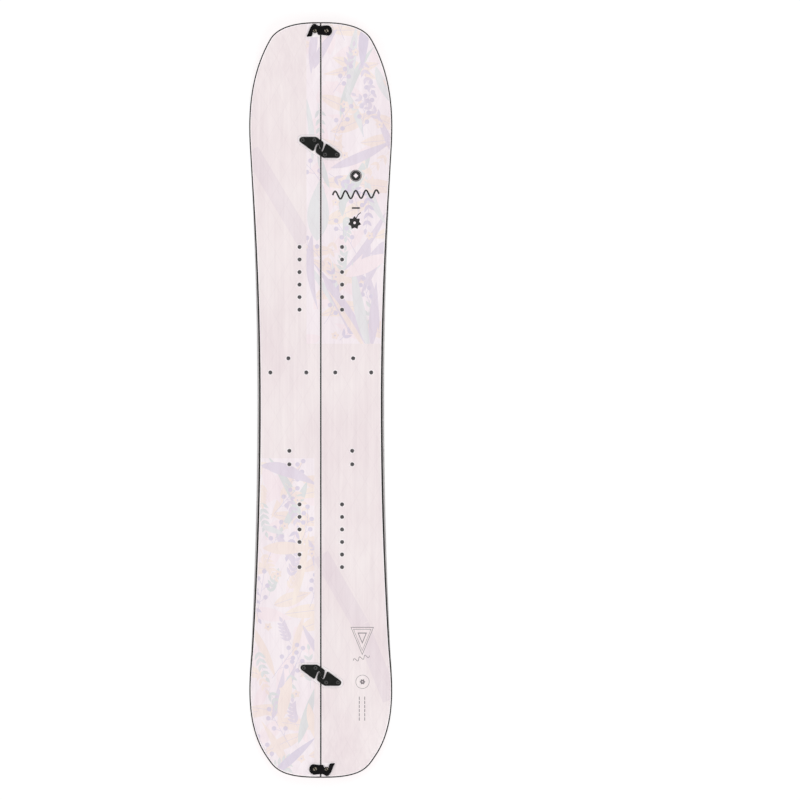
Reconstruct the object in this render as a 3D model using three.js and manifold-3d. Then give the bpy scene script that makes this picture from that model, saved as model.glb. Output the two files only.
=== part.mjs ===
// A splitboard: two half boards joined along a lengthwise seam by board hooks and tip clips.
// Millimetres. +Y points to the nose, +X to the right half, +Z up. It lies base down on z = 0.
import * as THREE from 'three';
import Module from 'manifold-3d';
import { mergeVertices } from 'three/addons/utils/BufferGeometryUtils.js';

const wasm = await Module();
wasm.setup();

// ---- Driving dimensions -------------------------------------------------------------------

const TIP_Y = 765;                 // half of the 1530 mm board
const WAIST_HALF_WIDTH = 128.2;
const FRONT_SIDECUT_RADIUS = 8350;
const REAR_SIDECUT_RADIUS = 10150;

// Each end of the outline: two cubic curves, from the sidecut to the blunt tip.
const NOSE_CURVES = [
  [[142.6, 490], [145.5, 539.4], [155, 639.4], [104.3, 728.7]],
  [[104.3, 728.7], [99.6, 736.9], [84.1, TIP_Y], [8, TIP_Y]],
];
const TAIL_CURVES = [
  [[140.5, 500], [143.2, 553.8], [158.4, 652.8], [111.5, 721.1]],
  [[111.5, 721.1], [96.4, 743], [86.3, TIP_Y], [8, TIP_Y]],
];

// Side view: camber between two contact lines, then an arc and a straight kick at each end.
const CAMBER = 3;
const NOSE_CONTACT_Y = 540;
const TAIL_CONTACT_Y = -585;
const NOSE_RADIUS = 520;
const TAIL_RADIUS = 420;
const TIP_SLOPE = THREE.MathUtils.degToRad(15);

// The sandwich, from the base up, with a thin glue line between the layers.
const GLUE = 0.05;
const BASE_THICKNESS = 1.8;
const LAMINATE_THICKNESS = 0.8;
const TOPSHEET_THICKNESS = 0.5;
const CORE_MIDDLE = 3.9;
const CORE_TIP = 0.9;
const FULL_CORE_Y = 345;           // the core is full thickness out to here
const NOSE_TAPER_Y = 480;          // and at its thinnest from here on
const TAIL_TAPER_Y = -525;

// The rim, measured inward from the outline.
const SEAM = 0.3;                  // half of the gap between the two halves
const FIT = 0.3;                   // clearance between pieces that are cut to each other
const STEEL_WIDTH = 3.4;
const INNER_STEEL_WIDTH = 2;
const STEEL_SHOWING = { tip: 0.4, waist: 3.4 };
const TOPSHEET_INSET = { tip: 2.6, waist: 6.7 };
const BEVEL_CENTRE_Y = -70;        // the bevelled sidewall is widest here
const BEVEL_REACH = 520;
const SIDEWALL_WIDTH = 6;
const INNER_SIDEWALL_WIDTH = 5.7;
const SEAM_BEVEL = 0.9;            // the topsheet stops this far from the seam gap

// The coloured base inlays at the nose and tail.
const INLAY = { deep: 26, thin: 9.2, thinY: 660, deepY: 725, noseEnd: 618, tailEnd: -612 };

// Threaded inserts: six in a row for each binding puck, three for the touring bracket, two heel.
const INSERT = { radius: 4, bore: 2.6, boreDepth: 4, flange: 8, flangeThickness: 1.2, sides: 8 };
const PUCK_ROW_X = 43.1;
const PUCK_PITCH = 25.4;
const PUCK_ROWS = { front: 246.5, rear: -275 };
const TOURING_INSERTS = [[65.6, 84.5], [102.1, 55.8], [29.3, 55.8]];
const HEEL_INSERTS = [[63.7, -103], [63.7, -130.3]];
const RECESS = 0.2;                // insert tops sit this far below the topsheet

// Board hooks: two plates a pair, with fingers that wedge past each other over the seam.
const HOOK_PAIRS = { front: [-2.2, 511.8], rear: [0.2, -557.7] };
const HOOK_THICKNESS = 3.2;
const WEDGE = THREE.MathUtils.degToRad(19);
const WEDGE_SLIT = 0.9;            // half of the slit between the two fingers
const HOOK_SCREWS = [[-34.6, 14.8], [-10.8, 14.8]];
const COUNTERSINK_FIT = 0.42;
const SCREW = { head: 3.9, shank: 2, headHeight: 1.9, rimHeight: 0.6, sunk: 0.3, sides: 8 };

// Tip clips: a lever on a pivot bolt on one half takes hold of a stud on the other half.
const CLIP_X = 11.7;
const CLIP_FROM_TIP = 15.5;
const LEVER_THICKNESS = 3.2;
const LEVER_LIFT = 0.4;
const STUD_RADIUS = 3.5;
const SLOT_HALF_WIDTH = 4.1;
const BOLT = { shank: 2.4, head: 4, headHeight: 1.2, chamfer: 0.6, sides: 12 };
const STUD_HEIGHT = 0.9;           // above the lever, like the bolt's head but a little lower
const NUT = { flange: 4.4, barrel: 3.5, top: 3.3, recess: 0.3, flangeHeight: 1.2 };

// How finely the shapes are made. Hidden layers have holes with fewer sides than those that show.
const TIP_SAMPLES = { first: [0.86, 1], second: [0.16, 0.33, 0.5, 0.67, 0.84, 1], clearOfKick: 8 };
const HALVINGS = 40;
const MERGE_DISTANCE = 1e-4;
const HOLE_SIDES = { hidden: 6, showing: 8 };
const CUTTER_REACH = 80;

const LOOKS = {
  topsheet: { color: 0xf0e6e6, roughness: 0.45, metalness: 0 },
  laminate: { color: 0x2b2b28, roughness: 0.6, metalness: 0 },
  wood: { color: 0xc9a872, roughness: 0.7, metalness: 0 },
  sidewall: { color: 0x1b1b1c, roughness: 0.5, metalness: 0 },
  base: { color: 0x1a1a1a, roughness: 0.4, metalness: 0 },
  inlay: { color: 0xee5870, roughness: 0.4, metalness: 0 },
  steel: { color: 0xb8babc, roughness: 0.35, metalness: 1 },
  insert: { color: 0x6d6b6e, roughness: 0.4, metalness: 1 },
  hook: { color: 0x161616, roughness: 0.5, metalness: 0 },
  screw: { color: 0x2a2a2b, roughness: 0.35, metalness: 1 },
};

// ---- Side view and outline ----------------------------------------------------------------

const noseArc = NOSE_RADIUS * Math.sin(TIP_SLOPE);
const tailArc = TAIL_RADIUS * Math.sin(TIP_SLOPE);
const noseKickY = NOSE_CONTACT_Y + noseArc;
const tailKickY = TAIL_CONTACT_Y - tailArc;

function rockerHeight(y) {
  if (y > NOSE_CONTACT_Y) return kickHeight(y - NOSE_CONTACT_Y, NOSE_RADIUS);
  if (y < TAIL_CONTACT_Y) return kickHeight(TAIL_CONTACT_Y - y, TAIL_RADIUS);
  const middle = (NOSE_CONTACT_Y + TAIL_CONTACT_Y) / 2;
  const reach = (NOSE_CONTACT_Y - TAIL_CONTACT_Y) / 2;
  return CAMBER * (1 - ((y - middle) / reach) ** 2) ** 2;
}

function kickHeight(distance, radius) {
  const arc = radius * Math.sin(TIP_SLOPE);
  if (distance <= arc) return radius - Math.sqrt(radius ** 2 - distance ** 2);
  return radius * (1 - Math.cos(TIP_SLOPE)) + (distance - arc) * Math.tan(TIP_SLOPE);
}

// Every layer bends on these same lines across the board, so the layers never cross.
const BEND_LINES = [
  tailKickY, -650, INLAY.tailEnd - 5, INLAY.tailEnd, TAIL_CONTACT_Y, TAIL_TAPER_Y, -435, -FULL_CORE_Y,
  -220, -75, 25, 130, 215,
  FULL_CORE_Y, NOSE_TAPER_Y, NOSE_CONTACT_Y, 580, INLAY.noseEnd, INLAY.noseEnd + 5, 650, noseKickY,
];
const bendHeights = BEND_LINES.map(rockerHeight);

function baseZ(y) {
  if (y <= BEND_LINES[0] || y >= BEND_LINES.at(-1)) return rockerHeight(y);
  const i = BEND_LINES.findLastIndex((line) => line <= y);
  const along = (y - BEND_LINES[i]) / (BEND_LINES[i + 1] - BEND_LINES[i]);
  return THREE.MathUtils.lerp(bendHeights[i], bendHeights[i + 1], along);
}

function coreThickness(y) {
  const taperY = y > 0 ? NOSE_TAPER_Y : -TAIL_TAPER_Y;
  const along = THREE.MathUtils.clamp((Math.abs(y) - FULL_CORE_Y) / (taperY - FULL_CORE_Y), 0, 1);
  return THREE.MathUtils.lerp(CORE_MIDDLE, CORE_TIP, along);
}

const steelTop = (y) => baseZ(y) + BASE_THICKNESS;
const lowerLaminateBottom = (y) => steelTop(y) + GLUE;
const lowerLaminateTop = (y) => lowerLaminateBottom(y) + LAMINATE_THICKNESS;
const coreBottom = (y) => lowerLaminateTop(y) + GLUE;
const coreTop = (y) => coreBottom(y) + coreThickness(y);
const upperLaminateBottom = (y) => coreTop(y) + GLUE;
const upperLaminateTop = (y) => upperLaminateBottom(y) + LAMINATE_THICKNESS;
const topsheetBottom = (y) => upperLaminateTop(y) + GLUE;
const topsheetTop = (y) => topsheetBottom(y) + TOPSHEET_THICKNESS;

const toVector = ([x, y]) => new THREE.Vector2(x, y);

function tipCurves(sign) {
  const curves = sign > 0 ? NOSE_CURVES : TAIL_CURVES;
  return curves.map((points) => new THREE.CubicBezierCurve(...points.map(toVector)));
}

// The half width of the outline at y, by halving along the first tip curve past the sidecut.
function halfWidth(y) {
  const curve = tipCurves(y)[0];
  if (Math.abs(y) <= curve.v0.y) {
    const radius = y > 0 ? FRONT_SIDECUT_RADIUS : REAR_SIDECUT_RADIUS;
    return WAIST_HALF_WIDTH + radius - Math.sqrt(radius ** 2 - y ** 2);
  }
  let low = 0;
  let high = 1;
  for (let step = 0; step < HALVINGS; step++) {
    const middle = (low + high) / 2;
    if (curve.getPoint(middle).y < Math.abs(y)) low = middle;
    else high = middle;
  }
  return curve.getPoint(low).x;
}

// Outline points around one tip, past the last bend line, each with its inward direction.
function tipPoints(sign) {
  const [first, second] = tipCurves(sign);
  const kick = sign > 0 ? noseKickY : -tailKickY;
  const samples = [
    ...TIP_SAMPLES.first.map((t) => [first, t]),
    ...TIP_SAMPLES.second.map((t) => [second, t]),
  ];
  return samples
    .map(([curve, t]) => ({ at: curve.getPoint(t), along: curve.getTangent(t) }))
    .filter(({ at }) => at.y > kick + TIP_SAMPLES.clearOfKick)
    .map(({ at, along }) => ({ x: at.x, y: sign * at.y, inX: -along.y, inY: sign * along.x }));
}

const OUTLINE = [
  ...tipPoints(-1).reverse(),
  ...BEND_LINES.map((y) => ({ x: halfWidth(y), y, inX: -1, inY: 0 })),
  ...tipPoints(1),
];

const bevelShare = (y) => Math.max(0, 1 - ((y - BEVEL_CENTRE_Y) / BEVEL_REACH) ** 2);
const steelShowing = (y) => THREE.MathUtils.lerp(STEEL_SHOWING.tip, STEEL_SHOWING.waist, bevelShare(y));
const topsheetInset = (y) => THREE.MathUtils.lerp(TOPSHEET_INSET.tip, TOPSHEET_INSET.waist, bevelShare(y));
const coreInset = (y) => topsheetInset(y) + SIDEWALL_WIDTH;

// The outline moved inward by a fixed distance, or by a distance that depends on y.
function rail(inset) {
  return OUTLINE.map(({ x, y, inX, inY }) => {
    const distance = typeof inset === 'function' ? inset(y) : inset;
    return [x + inX * distance, y + inY * distance];
  });
}

// ---- Solids -------------------------------------------------------------------------------

function meshFromTriangles(positions, index) {
  const geometry = new THREE.BufferGeometry();
  geometry.setAttribute('position', new THREE.Float32BufferAttribute(positions, 3));
  geometry.setIndex(index);
  return geometry;
}

// A closed skin over a row of rings, each a list of [x, y, z] with the same number of points.
function loft(rings) {
  const count = rings[0].length;
  const index = [];
  for (let r = 0; r + 1 < rings.length; r++) {
    for (let p = 0; p < count; p++) {
      const a = r * count + p;
      const b = r * count + (p + 1) % count;
      index.push(a, b, b + count, a, b + count, a + count);
    }
  }
  const last = (rings.length - 1) * count;
  for (let p = 1; p + 1 < count; p++) {
    index.push(0, p + 1, p, last, last + p, last + p + 1);
  }
  return outward(meshFromTriangles(rings.flat(2), index));
}

function signedVolume(geometry) {
  const { position } = geometry.attributes;
  const corner = (i) => new THREE.Vector3().fromBufferAttribute(position, geometry.index.getX(i));
  let volume = 0;
  for (let i = 0; i < geometry.index.count; i += 3) {
    volume += corner(i).dot(corner(i + 1).cross(corner(i + 2))) / 6;
  }
  return volume;
}

function outward(geometry) {
  if (signedVolume(geometry) > 0) return geometry;
  const index = geometry.index.array;
  for (let i = 0; i < index.length; i += 3) {
    [index[i], index[i + 1]] = [index[i + 1], index[i]];
  }
  return geometry;
}

function toSolid(geometry) {
  let bare = geometry.clone();
  bare.deleteAttribute('normal');
  bare.deleteAttribute('uv');
  bare = outward(mergeVertices(bare, MERGE_DISTANCE));
  const vertProperties = new Float32Array(bare.attributes.position.array);
  const triVerts = new Uint32Array(bare.index.array);
  return new wasm.Manifold(new wasm.Mesh({ numProp: 3, vertProperties, triVerts }));
}

function fromSolid(solid) {
  const { vertProperties, triVerts } = solid.getMesh();
  return meshFromTriangles(Array.from(vertProperties), Array.from(triVerts));
}

function cut(geometry, tools) {
  return fromSolid(tools.reduce((left, tool) => left.subtract(toSolid(tool)), toSolid(geometry)));
}

function join(parts) {
  return fromSolid(parts.map(toSolid).reduce((whole, part) => whole.add(part)));
}

// A solid of revolution about a vertical line at (x, y), from a profile of [radius, z].
function turned(profile, sides, x = 0, y = 0) {
  const geometry = new THREE.LatheGeometry(profile.map(toVector), sides);
  return geometry.rotateX(Math.PI / 2).rotateZ(Math.PI / sides).translate(x, y, 0);
}

function rod(radius, low, high, sides, x, y) {
  return turned([[0, low], [radius, low], [radius, high], [0, high]], sides, x, y);
}

// A cutter that goes right through and leaves clearance all round a rod of this radius.
function clearHole(radius, sides, x, y) {
  const flatsRadius = (radius + FIT) / Math.cos(Math.PI / sides);
  return rod(flatsRadius, -CUTTER_REACH, CUTTER_REACH, sides, x, y);
}

function plate(points, thickness) {
  const shape = new THREE.Shape(points.map(toVector));
  return new THREE.ExtrudeGeometry(shape, { depth: thickness, bevelEnabled: false });
}

// A layer of the right half between an inner line and one rail, or two where its rim is bevelled.
function layer(innerX, lowRail, highRail, low, high) {
  return loft(lowRail.map(([x, y], i) => {
    const [topX, topY] = highRail[i];
    return [[innerX, y, low(y)], [x, y, low(y)], [topX, topY, high(topY)], [innerX, topY, high(topY)]];
  }));
}

// A strip of the right half between two rails, closed at the seam at both tips.
function rim(outerLow, outerHigh, inner, low, high) {
  const ring = (a, b, c) => [[...a, low(a[1])], [...b, high(b[1])], [...c, high(c[1])], [...c, low(c[1])]];
  const onSeam = ([, y]) => [SEAM, y];
  const end = (i) => ring(onSeam(outerLow.at(i)), onSeam(outerHigh.at(i)), onSeam(inner.at(i)));
  return loft([end(0), ...outerLow.map((point, i) => ring(point, outerHigh[i], inner[i])), end(-1)]);
}

// A straight strip beside the seam that follows the bend of the board.
function seamStrip(x0, x1, y0, y1, low, high) {
  const lines = [y0, ...BEND_LINES.filter((y) => y > y0 + 1 && y < y1 - 1), y1];
  return loft(lines.map((y) => [[x0, y, low(y)], [x1, y, low(y)], [x1, y, high(y)], [x0, y, high(y)]]));
}

// ---- Hardware places, on the right half and on the left half ----------------------------------

const hookPlaces = Object.entries(HOOK_PAIRS).map(([end, [x, y]]) => ({ end, x, y }));
const clipY = TIP_Y - CLIP_FROM_TIP;

// Left plates carry the screws as listed, right plates the same turned half a turn.
function hookScrewPlaces(side) {
  return hookPlaces.flatMap(({ end, x, y }) => HOOK_SCREWS.map(([dx, dy], i) => (
    { name: `${end}_hook_screw_${side}_${i + 1}`, x: x - sideSign(side) * dx, y: y - sideSign(side) * dy }
  )));
}

const sideSign = (side) => (side === 'right' ? 1 : -1);

// ---- Half board ---------------------------------------------------------------------------

function makeMesh(name, geometry, look) {
  const mesh = new THREE.Mesh(geometry, new THREE.MeshStandardMaterial(LOOKS[look]));
  mesh.name = name;
  return mesh;
}

// The left half is the right half's mirror image.
function mirrored(geometry, side) {
  if (side === 'right') return geometry;
  const flipped = geometry.clone().scale(-1, 1, 1);
  return outward(flipped.index ? flipped : mergeVertices(flipped));
}

const inlayDepth = (y) => THREE.MathUtils.lerp(
  INLAY.thin, INLAY.deep, THREE.MathUtils.smoothstep(Math.abs(y), INLAY.thinY, INLAY.deepY));
const isInlay = (y) => y > INLAY.noseEnd + 1 || y < INLAY.tailEnd - 1;

function baseSheet() {
  const edge = rail((y) => (isInlay(y) ? inlayDepth(y) + FIT : STEEL_WIDTH + FIT));
  return layer(SEAM + INNER_STEEL_WIDTH + FIT, edge, edge, baseZ, steelTop);
}

function inlay(sign) {
  const there = (points) => points.filter((_, i) => OUTLINE[i].y * sign > 0 && isInlay(OUTLINE[i].y));
  const outer = there(rail(STEEL_WIDTH + FIT));
  const inner = there(rail(inlayDepth));
  const rings = outer.map(([x, y], i) => {
    const [inX, inY] = inner[i];
    return [[x, y, baseZ(y)], [x, y, steelTop(y)], [inX, inY, steelTop(inY)], [inX, inY, baseZ(inY)]];
  });
  const tip = sign > 0 ? rings.at(-1) : rings[0];
  const seamRing = tip.map(([, y, z]) => [SEAM, y, z]);
  return loft(sign > 0 ? [...rings, seamRing] : [seamRing, ...rings]);
}

// A barrel with a blind threaded bore, open at the top, on a foot of this radius and height.
function insertBarrel(x, y, footRadius, footBottom, footTop) {
  const { radius, bore, boreDepth, sides } = INSERT;
  const top = topsheetTop(y) - RECESS;
  const boreFoot = top - boreDepth;
  return turned([
    [0, footBottom], [footRadius, footBottom], [footRadius, footTop],
    [radius, footTop], [radius, top], [bore, top], [bore, boreFoot], [0, boreFoot],
  ], sides, x, y);
}

const flangeBottom = (y) => coreBottom(y) + GLUE;
const flangeTop = (y) => flangeBottom(y) + INSERT.flangeThickness;

function puckRowYs(row) {
  return Array.from({ length: 6 }, (_, i) => PUCK_ROWS[row] + (i - 2.5) * PUCK_PITCH);
}

// The bar that carries a row of six inserts, grown by a margin where it is used as a cutter.
function carrierBar(row, margin) {
  const ys = puckRowYs(row);
  const reach = INSERT.flange + margin;
  const low = (y) => flangeBottom(y) - margin;
  const high = (y) => flangeTop(y) + margin;
  return seamStrip(PUCK_ROW_X - reach, PUCK_ROW_X + reach, ys[0] - reach, ys.at(-1) + reach, low, high);
}

// The barrels are rooted in the upper part of the bar.
function puckInsertRow(row) {
  const { radius, flangeThickness } = INSERT;
  const barrels = puckRowYs(row).map((y) => (
    insertBarrel(PUCK_ROW_X, y, radius + FIT, flangeTop(y) - flangeThickness / 4, flangeTop(y) - GLUE)
  ));
  return join([carrierBar(row, 0), ...barrels]);
}

const singleInserts = [
  ...TOURING_INSERTS.map(([x, y], i) => ({ name: `touring_insert_${i + 1}`, x, y })),
  ...HEEL_INSERTS.map(([x, y], i) => ({ name: `heel_insert_${i + 1}`, x, y })),
];

// Holes through one half's upper layers for everything that stands in them.
function upperHoles(side, sides) {
  const pucks = ['front', 'rear'].flatMap((row) => puckRowYs(row).map((y) => ({ x: PUCK_ROW_X, y })));
  const inserts = [...pucks, ...singleInserts].map(({ x, y }) => clearHole(INSERT.radius, sides, x, y));
  const screws = hookScrewPlaces(side).map(({ x, y }) => (
    clearHole(SCREW.shank, sides, sideSign(side) * x, y)
  ));
  return [...inserts, ...screws];
}

// A hole for a clip bolt or its nut, square to the kicked-up tip.
function tipHole(end, radius) {
  const y = end * clipY;
  return clearHole(radius, HOLE_SIDES.showing).rotateX(end * TIP_SLOPE).translate(CLIP_X, y, baseZ(y));
}

function halfBoard(side) {
  const steelRail = rail(steelShowing);
  const bevelRail = rail(topsheetInset);
  const coreRail = rail((y) => coreInset(y) + FIT);
  const steel = rail(0);
  const tipHoles = [tipHole(1, NUT.barrel), tipHole(-1, NUT.barrel)];
  const hiddenHoles = [...tipHoles, ...upperHoles(side, HOLE_SIDES.hidden)];
  const showingHoles = [...tipHoles, ...upperHoles(side, HOLE_SIDES.showing)];
  const flangeRadius = INSERT.flange + 2 * FIT;
  const flangeHoles = singleInserts.map(({ x, y }) => (
    rod(flangeRadius, flangeBottom(y) - 1, flangeTop(y) + FIT, INSERT.sides, x, y)
  ));
  const pockets = [...flangeHoles, carrierBar('front', FIT), carrierBar('rear', FIT)];
  const innerX = SEAM + INNER_SIDEWALL_WIDTH + FIT;
  const wallEnd = TIP_Y - coreInset(TIP_Y) - 2 * FIT;
  const steelEnd = TIP_Y - INLAY.deep - FIT;
  const steelX = SEAM + INNER_STEEL_WIDTH;
  const wallX = SEAM + INNER_SIDEWALL_WIDTH;

  const lowerLaminate = layer(SEAM, steelRail, steelRail, lowerLaminateBottom, lowerLaminateTop);
  const core = layer(innerX, coreRail, coreRail, coreBottom, coreTop);
  const upperLaminate = layer(SEAM, bevelRail, bevelRail, upperLaminateBottom, upperLaminateTop);
  const topsheet = layer(SEAM + SEAM_BEVEL, bevelRail, bevelRail, topsheetBottom, topsheetTop);
  const shapes = {
    base_sheet: [baseSheet(), 'base'],
    nose_inlay: [cut(inlay(1), [tipHole(1, NUT.flange)]), 'inlay'],
    tail_inlay: [cut(inlay(-1), [tipHole(-1, NUT.flange)]), 'inlay'],
    outer_steel_edge: [rim(steel, steel, rail(STEEL_WIDTH), baseZ, steelTop), 'steel'],
    inner_steel_edge: [seamStrip(SEAM, steelX, -steelEnd, steelEnd, baseZ, steelTop), 'steel'],
    lower_laminate: [cut(lowerLaminate, tipHoles), 'laminate'],
    outer_sidewall: [rim(steelRail, bevelRail, rail(coreInset), coreBottom, coreTop), 'sidewall'],
    inner_sidewall: [seamStrip(SEAM, wallX, -wallEnd, wallEnd, coreBottom, coreTop), 'sidewall'],
    core: [cut(core, [...hiddenHoles, ...pockets]), 'wood'],
    upper_laminate: [cut(upperLaminate, hiddenHoles), 'laminate'],
    topsheet: [cut(topsheet, showingHoles), 'topsheet'],
    front_puck_inserts: [puckInsertRow('front'), 'insert'],
    rear_puck_inserts: [puckInsertRow('rear'), 'insert'],
  };
  for (const { name, x, y } of singleInserts) {
    shapes[name] = [insertBarrel(x, y, INSERT.flange, flangeBottom(y), flangeTop(y)), 'insert'];
  }
  const half = new THREE.Group();
  for (const [name, [geometry, look]] of Object.entries(shapes)) {
    half.add(makeMesh(`${name}_${side}`, mirrored(geometry, side), look));
  }
  return half;
}

// ---- Board hooks --------------------------------------------------------------------------

// Points of an arc round [x, y], between two angles in half turns.
function arc([x, y], [radiusX, radiusY], start, end, segments) {
  const clockwise = end < start;
  const curve = new THREE.EllipseCurve(x, y, radiusX, radiusY, start * Math.PI, end * Math.PI, clockwise);
  return curve.getPoints(segments).map((point) => [point.x, point.y]);
}

// The left plate of a pair, about the pair's middle. Its finger reaches over the seam.
function hookOutline() {
  const run = Math.tan(WEDGE);
  const flank = (y) => [WEDGE_SLIT / Math.cos(WEDGE) - y * run, y];
  return [
    ...arc([-35.1, 15.2], [6.1, 6.1], 1.3, 0.5, 5),
    [-8.6, 21.3], [-6.1, 20.4], [-0.6, 16.6], [4.7, 13], [7.2, 10.6], [8.1, 8.2], [6.6, 0.6], [5.2, -4],
    [4.2, -6], flank(-6), flank(5.2),
    [-2.2, 7.3], [-4.2, 8.2], [-6.7, 6.9], [-8.3, 3.8], [-9.8, -1], [-12, -6.2], [-13.2, -7.3],
    [-16.2, -6.3],
  ];
}

// The countersinks keep a little clear of the screws, all round and below the cone.
function hookPlate() {
  const { head, shank, headHeight, sunk, rimHeight, sides } = SCREW;
  const past = 1;
  const boreRadius = shank + COUNTERSINK_FIT;
  const coneRadius = head + COUNTERSINK_FIT;
  const coneTop = HOOK_THICKNESS - sunk - rimHeight - FIT / 2;
  const coneFoot = HOOK_THICKNESS - sunk - headHeight - FIT / 2;
  const mouth = HOOK_THICKNESS + past;
  const countersinks = HOOK_SCREWS.map(([x, y]) => turned([
    [0, -past], [boreRadius, -past], [boreRadius, coneFoot],
    [coneRadius, coneTop], [coneRadius, mouth], [0, mouth],
  ], sides, x, y));
  return cut(plate(hookOutline(), HOOK_THICKNESS), countersinks);
}

function hookScrew(x, y) {
  const { head, shank, headHeight, sunk, rimHeight, sides } = SCREW;
  const top = topsheetTop(y) + FIT + HOOK_THICKNESS - sunk;
  const bottom = coreBottom(y) + FIT;
  return turned([
    [0, bottom], [shank, bottom], [shank, top - headHeight], [head, top - rimHeight], [head, top], [0, top],
  ], sides, x, y);
}

function boardHooks() {
  const group = new THREE.Group();
  for (const { end, x, y } of hookPlaces) {
    for (const side of ['left', 'right']) {
      const mesh = makeMesh(`${end}_hook_${side}`, hookPlate(), 'hook');
      mesh.position.set(x, y, topsheetTop(y) + FIT);
      if (side === 'right') mesh.rotation.z = Math.PI;
      group.add(mesh);
    }
  }
  for (const side of ['left', 'right']) {
    for (const { name, x, y } of hookScrewPlaces(side)) {
      group.add(makeMesh(name, hookScrew(x, y), 'screw'));
    }
  }
  return group;
}

// ---- Tip clips ----------------------------------------------------------------------------

const planeTop = topsheetTop(TIP_Y) - baseZ(TIP_Y);     // upright thickness of a tip
const squareTop = planeTop * Math.cos(TIP_SLOPE);       // the same, square to the kick

// The nose lever, about the seam, with +Y to the tip. Its slot opens away from the tip.
function leverOutline() {
  return [
    [-18.3, 9.9], [-16, 12.7], [-13.4, 13.9], [-10.4, 13.4], [-7, 10.8], [-3.8, 9.7], [-0.2, 9.4],
    [4.3, 9.8],
    ...arc([CLIP_X + 0.5, 0], [10.4, 10.5], 0.5, -0.38, 9),
    [11.1, -9.2], [6, -8.3], [2, -8.1], [-4.6, -8.7], [-5.5, -7.6], [-6.3, -5.6],
    ...arc([-CLIP_X - 0.2, 0], [SLOT_HALF_WIDTH, SLOT_HALF_WIDTH], 0, 1, 6),
    [-16.3, -5.4], [-16.8, -8.4], [-18.7, -11.1], [-28.6, -12], [-26, -7.2], [-23.5, 0], [-21, 5.9],
  ];
}

const leverTop = squareTop + LEVER_LIFT + LEVER_THICKNESS;
const boltFoot = NUT.recess + NUT.flangeHeight + FIT;

function clipLever() {
  const lever = plate(leverOutline(), LEVER_THICKNESS).translate(0, 0, squareTop + LEVER_LIFT);
  return cut(lever, [clearHole(BOLT.shank, BOLT.sides, CLIP_X, 0)]);
}

// A bolt from the nut up, with a chamfered head or post above the shank.
function clipBolt(x, headRadius, headBottom, headTop) {
  const { shank, chamfer, sides } = BOLT;
  return turned([
    [0, boltFoot], [shank, boltFoot], [shank, headBottom], [headRadius, headBottom],
    [headRadius, headTop - chamfer], [headRadius - chamfer, headTop], [0, headTop],
  ], sides, x, 0);
}

function clipNut(x) {
  const { flange, barrel, top, recess, flangeHeight } = NUT;
  const flangeTopZ = recess + flangeHeight;
  const bore = BOLT.shank + FIT;
  return turned([
    [0, recess], [flange, recess], [flange, flangeTopZ], [barrel, flangeTopZ], [barrel, top], [bore, top],
    [bore, flangeTopZ], [0, flangeTopZ],
  ], BOLT.sides, x, 0);
}

function tipClip(end, name) {
  const headBottom = leverTop + FIT;
  const group = new THREE.Group();
  group.add(makeMesh(`${name}_clip_lever`, clipLever(), 'hook'));
  const pivotBolt = clipBolt(CLIP_X, BOLT.head, headBottom, headBottom + BOLT.headHeight);
  const stud = clipBolt(-CLIP_X, STUD_RADIUS, squareTop + FIT, headBottom + STUD_HEIGHT);
  group.add(makeMesh(`${name}_clip_pivot_bolt`, pivotBolt, 'screw'));
  group.add(makeMesh(`${name}_clip_stud`, stud, 'screw'));
  group.add(makeMesh(`${name}_pivot_nut`, clipNut(CLIP_X), 'insert'));
  group.add(makeMesh(`${name}_stud_nut`, clipNut(-CLIP_X), 'insert'));
  group.rotation.set(TIP_SLOPE, 0, 0);
  group.position.set(0, clipY, baseZ(end * clipY));
  const turnedEnd = new THREE.Group();
  turnedEnd.rotation.z = end > 0 ? 0 : Math.PI;
  turnedEnd.add(group);
  return turnedEnd;
}

// ---- Assembly -----------------------------------------------------------------------------

const splitboard = new THREE.Group();
splitboard.add(halfBoard('left'), halfBoard('right'), boardHooks());
splitboard.add(tipClip(1, 'nose'), tipClip(-1, 'tail'));

export default splitboard;
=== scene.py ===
import math
import random

import bmesh
import bpy
from mathutils import Matrix, Vector, geometry


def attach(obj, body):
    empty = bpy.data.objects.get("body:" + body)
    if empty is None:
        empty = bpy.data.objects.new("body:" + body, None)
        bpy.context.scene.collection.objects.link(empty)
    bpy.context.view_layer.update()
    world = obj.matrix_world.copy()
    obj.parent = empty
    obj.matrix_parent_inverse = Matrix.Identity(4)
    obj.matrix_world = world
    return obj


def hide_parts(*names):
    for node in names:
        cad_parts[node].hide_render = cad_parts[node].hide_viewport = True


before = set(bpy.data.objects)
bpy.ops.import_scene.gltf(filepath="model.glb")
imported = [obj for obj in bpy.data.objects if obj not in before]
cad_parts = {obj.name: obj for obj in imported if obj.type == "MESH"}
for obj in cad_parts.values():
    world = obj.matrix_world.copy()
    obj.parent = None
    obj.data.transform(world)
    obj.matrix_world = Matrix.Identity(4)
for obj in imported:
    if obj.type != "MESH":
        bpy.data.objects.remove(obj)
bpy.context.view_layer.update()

# ---- Dimensions, in millimetres --------------------------------------------------------------
# These are the CAD model's. Only SEAM, SEAM_BEVEL, INNER_STEEL_WIDTH and WEDGE_SLIT differ a
# little, because solids that move past each other need wider gaps than meshes that are seen.

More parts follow.
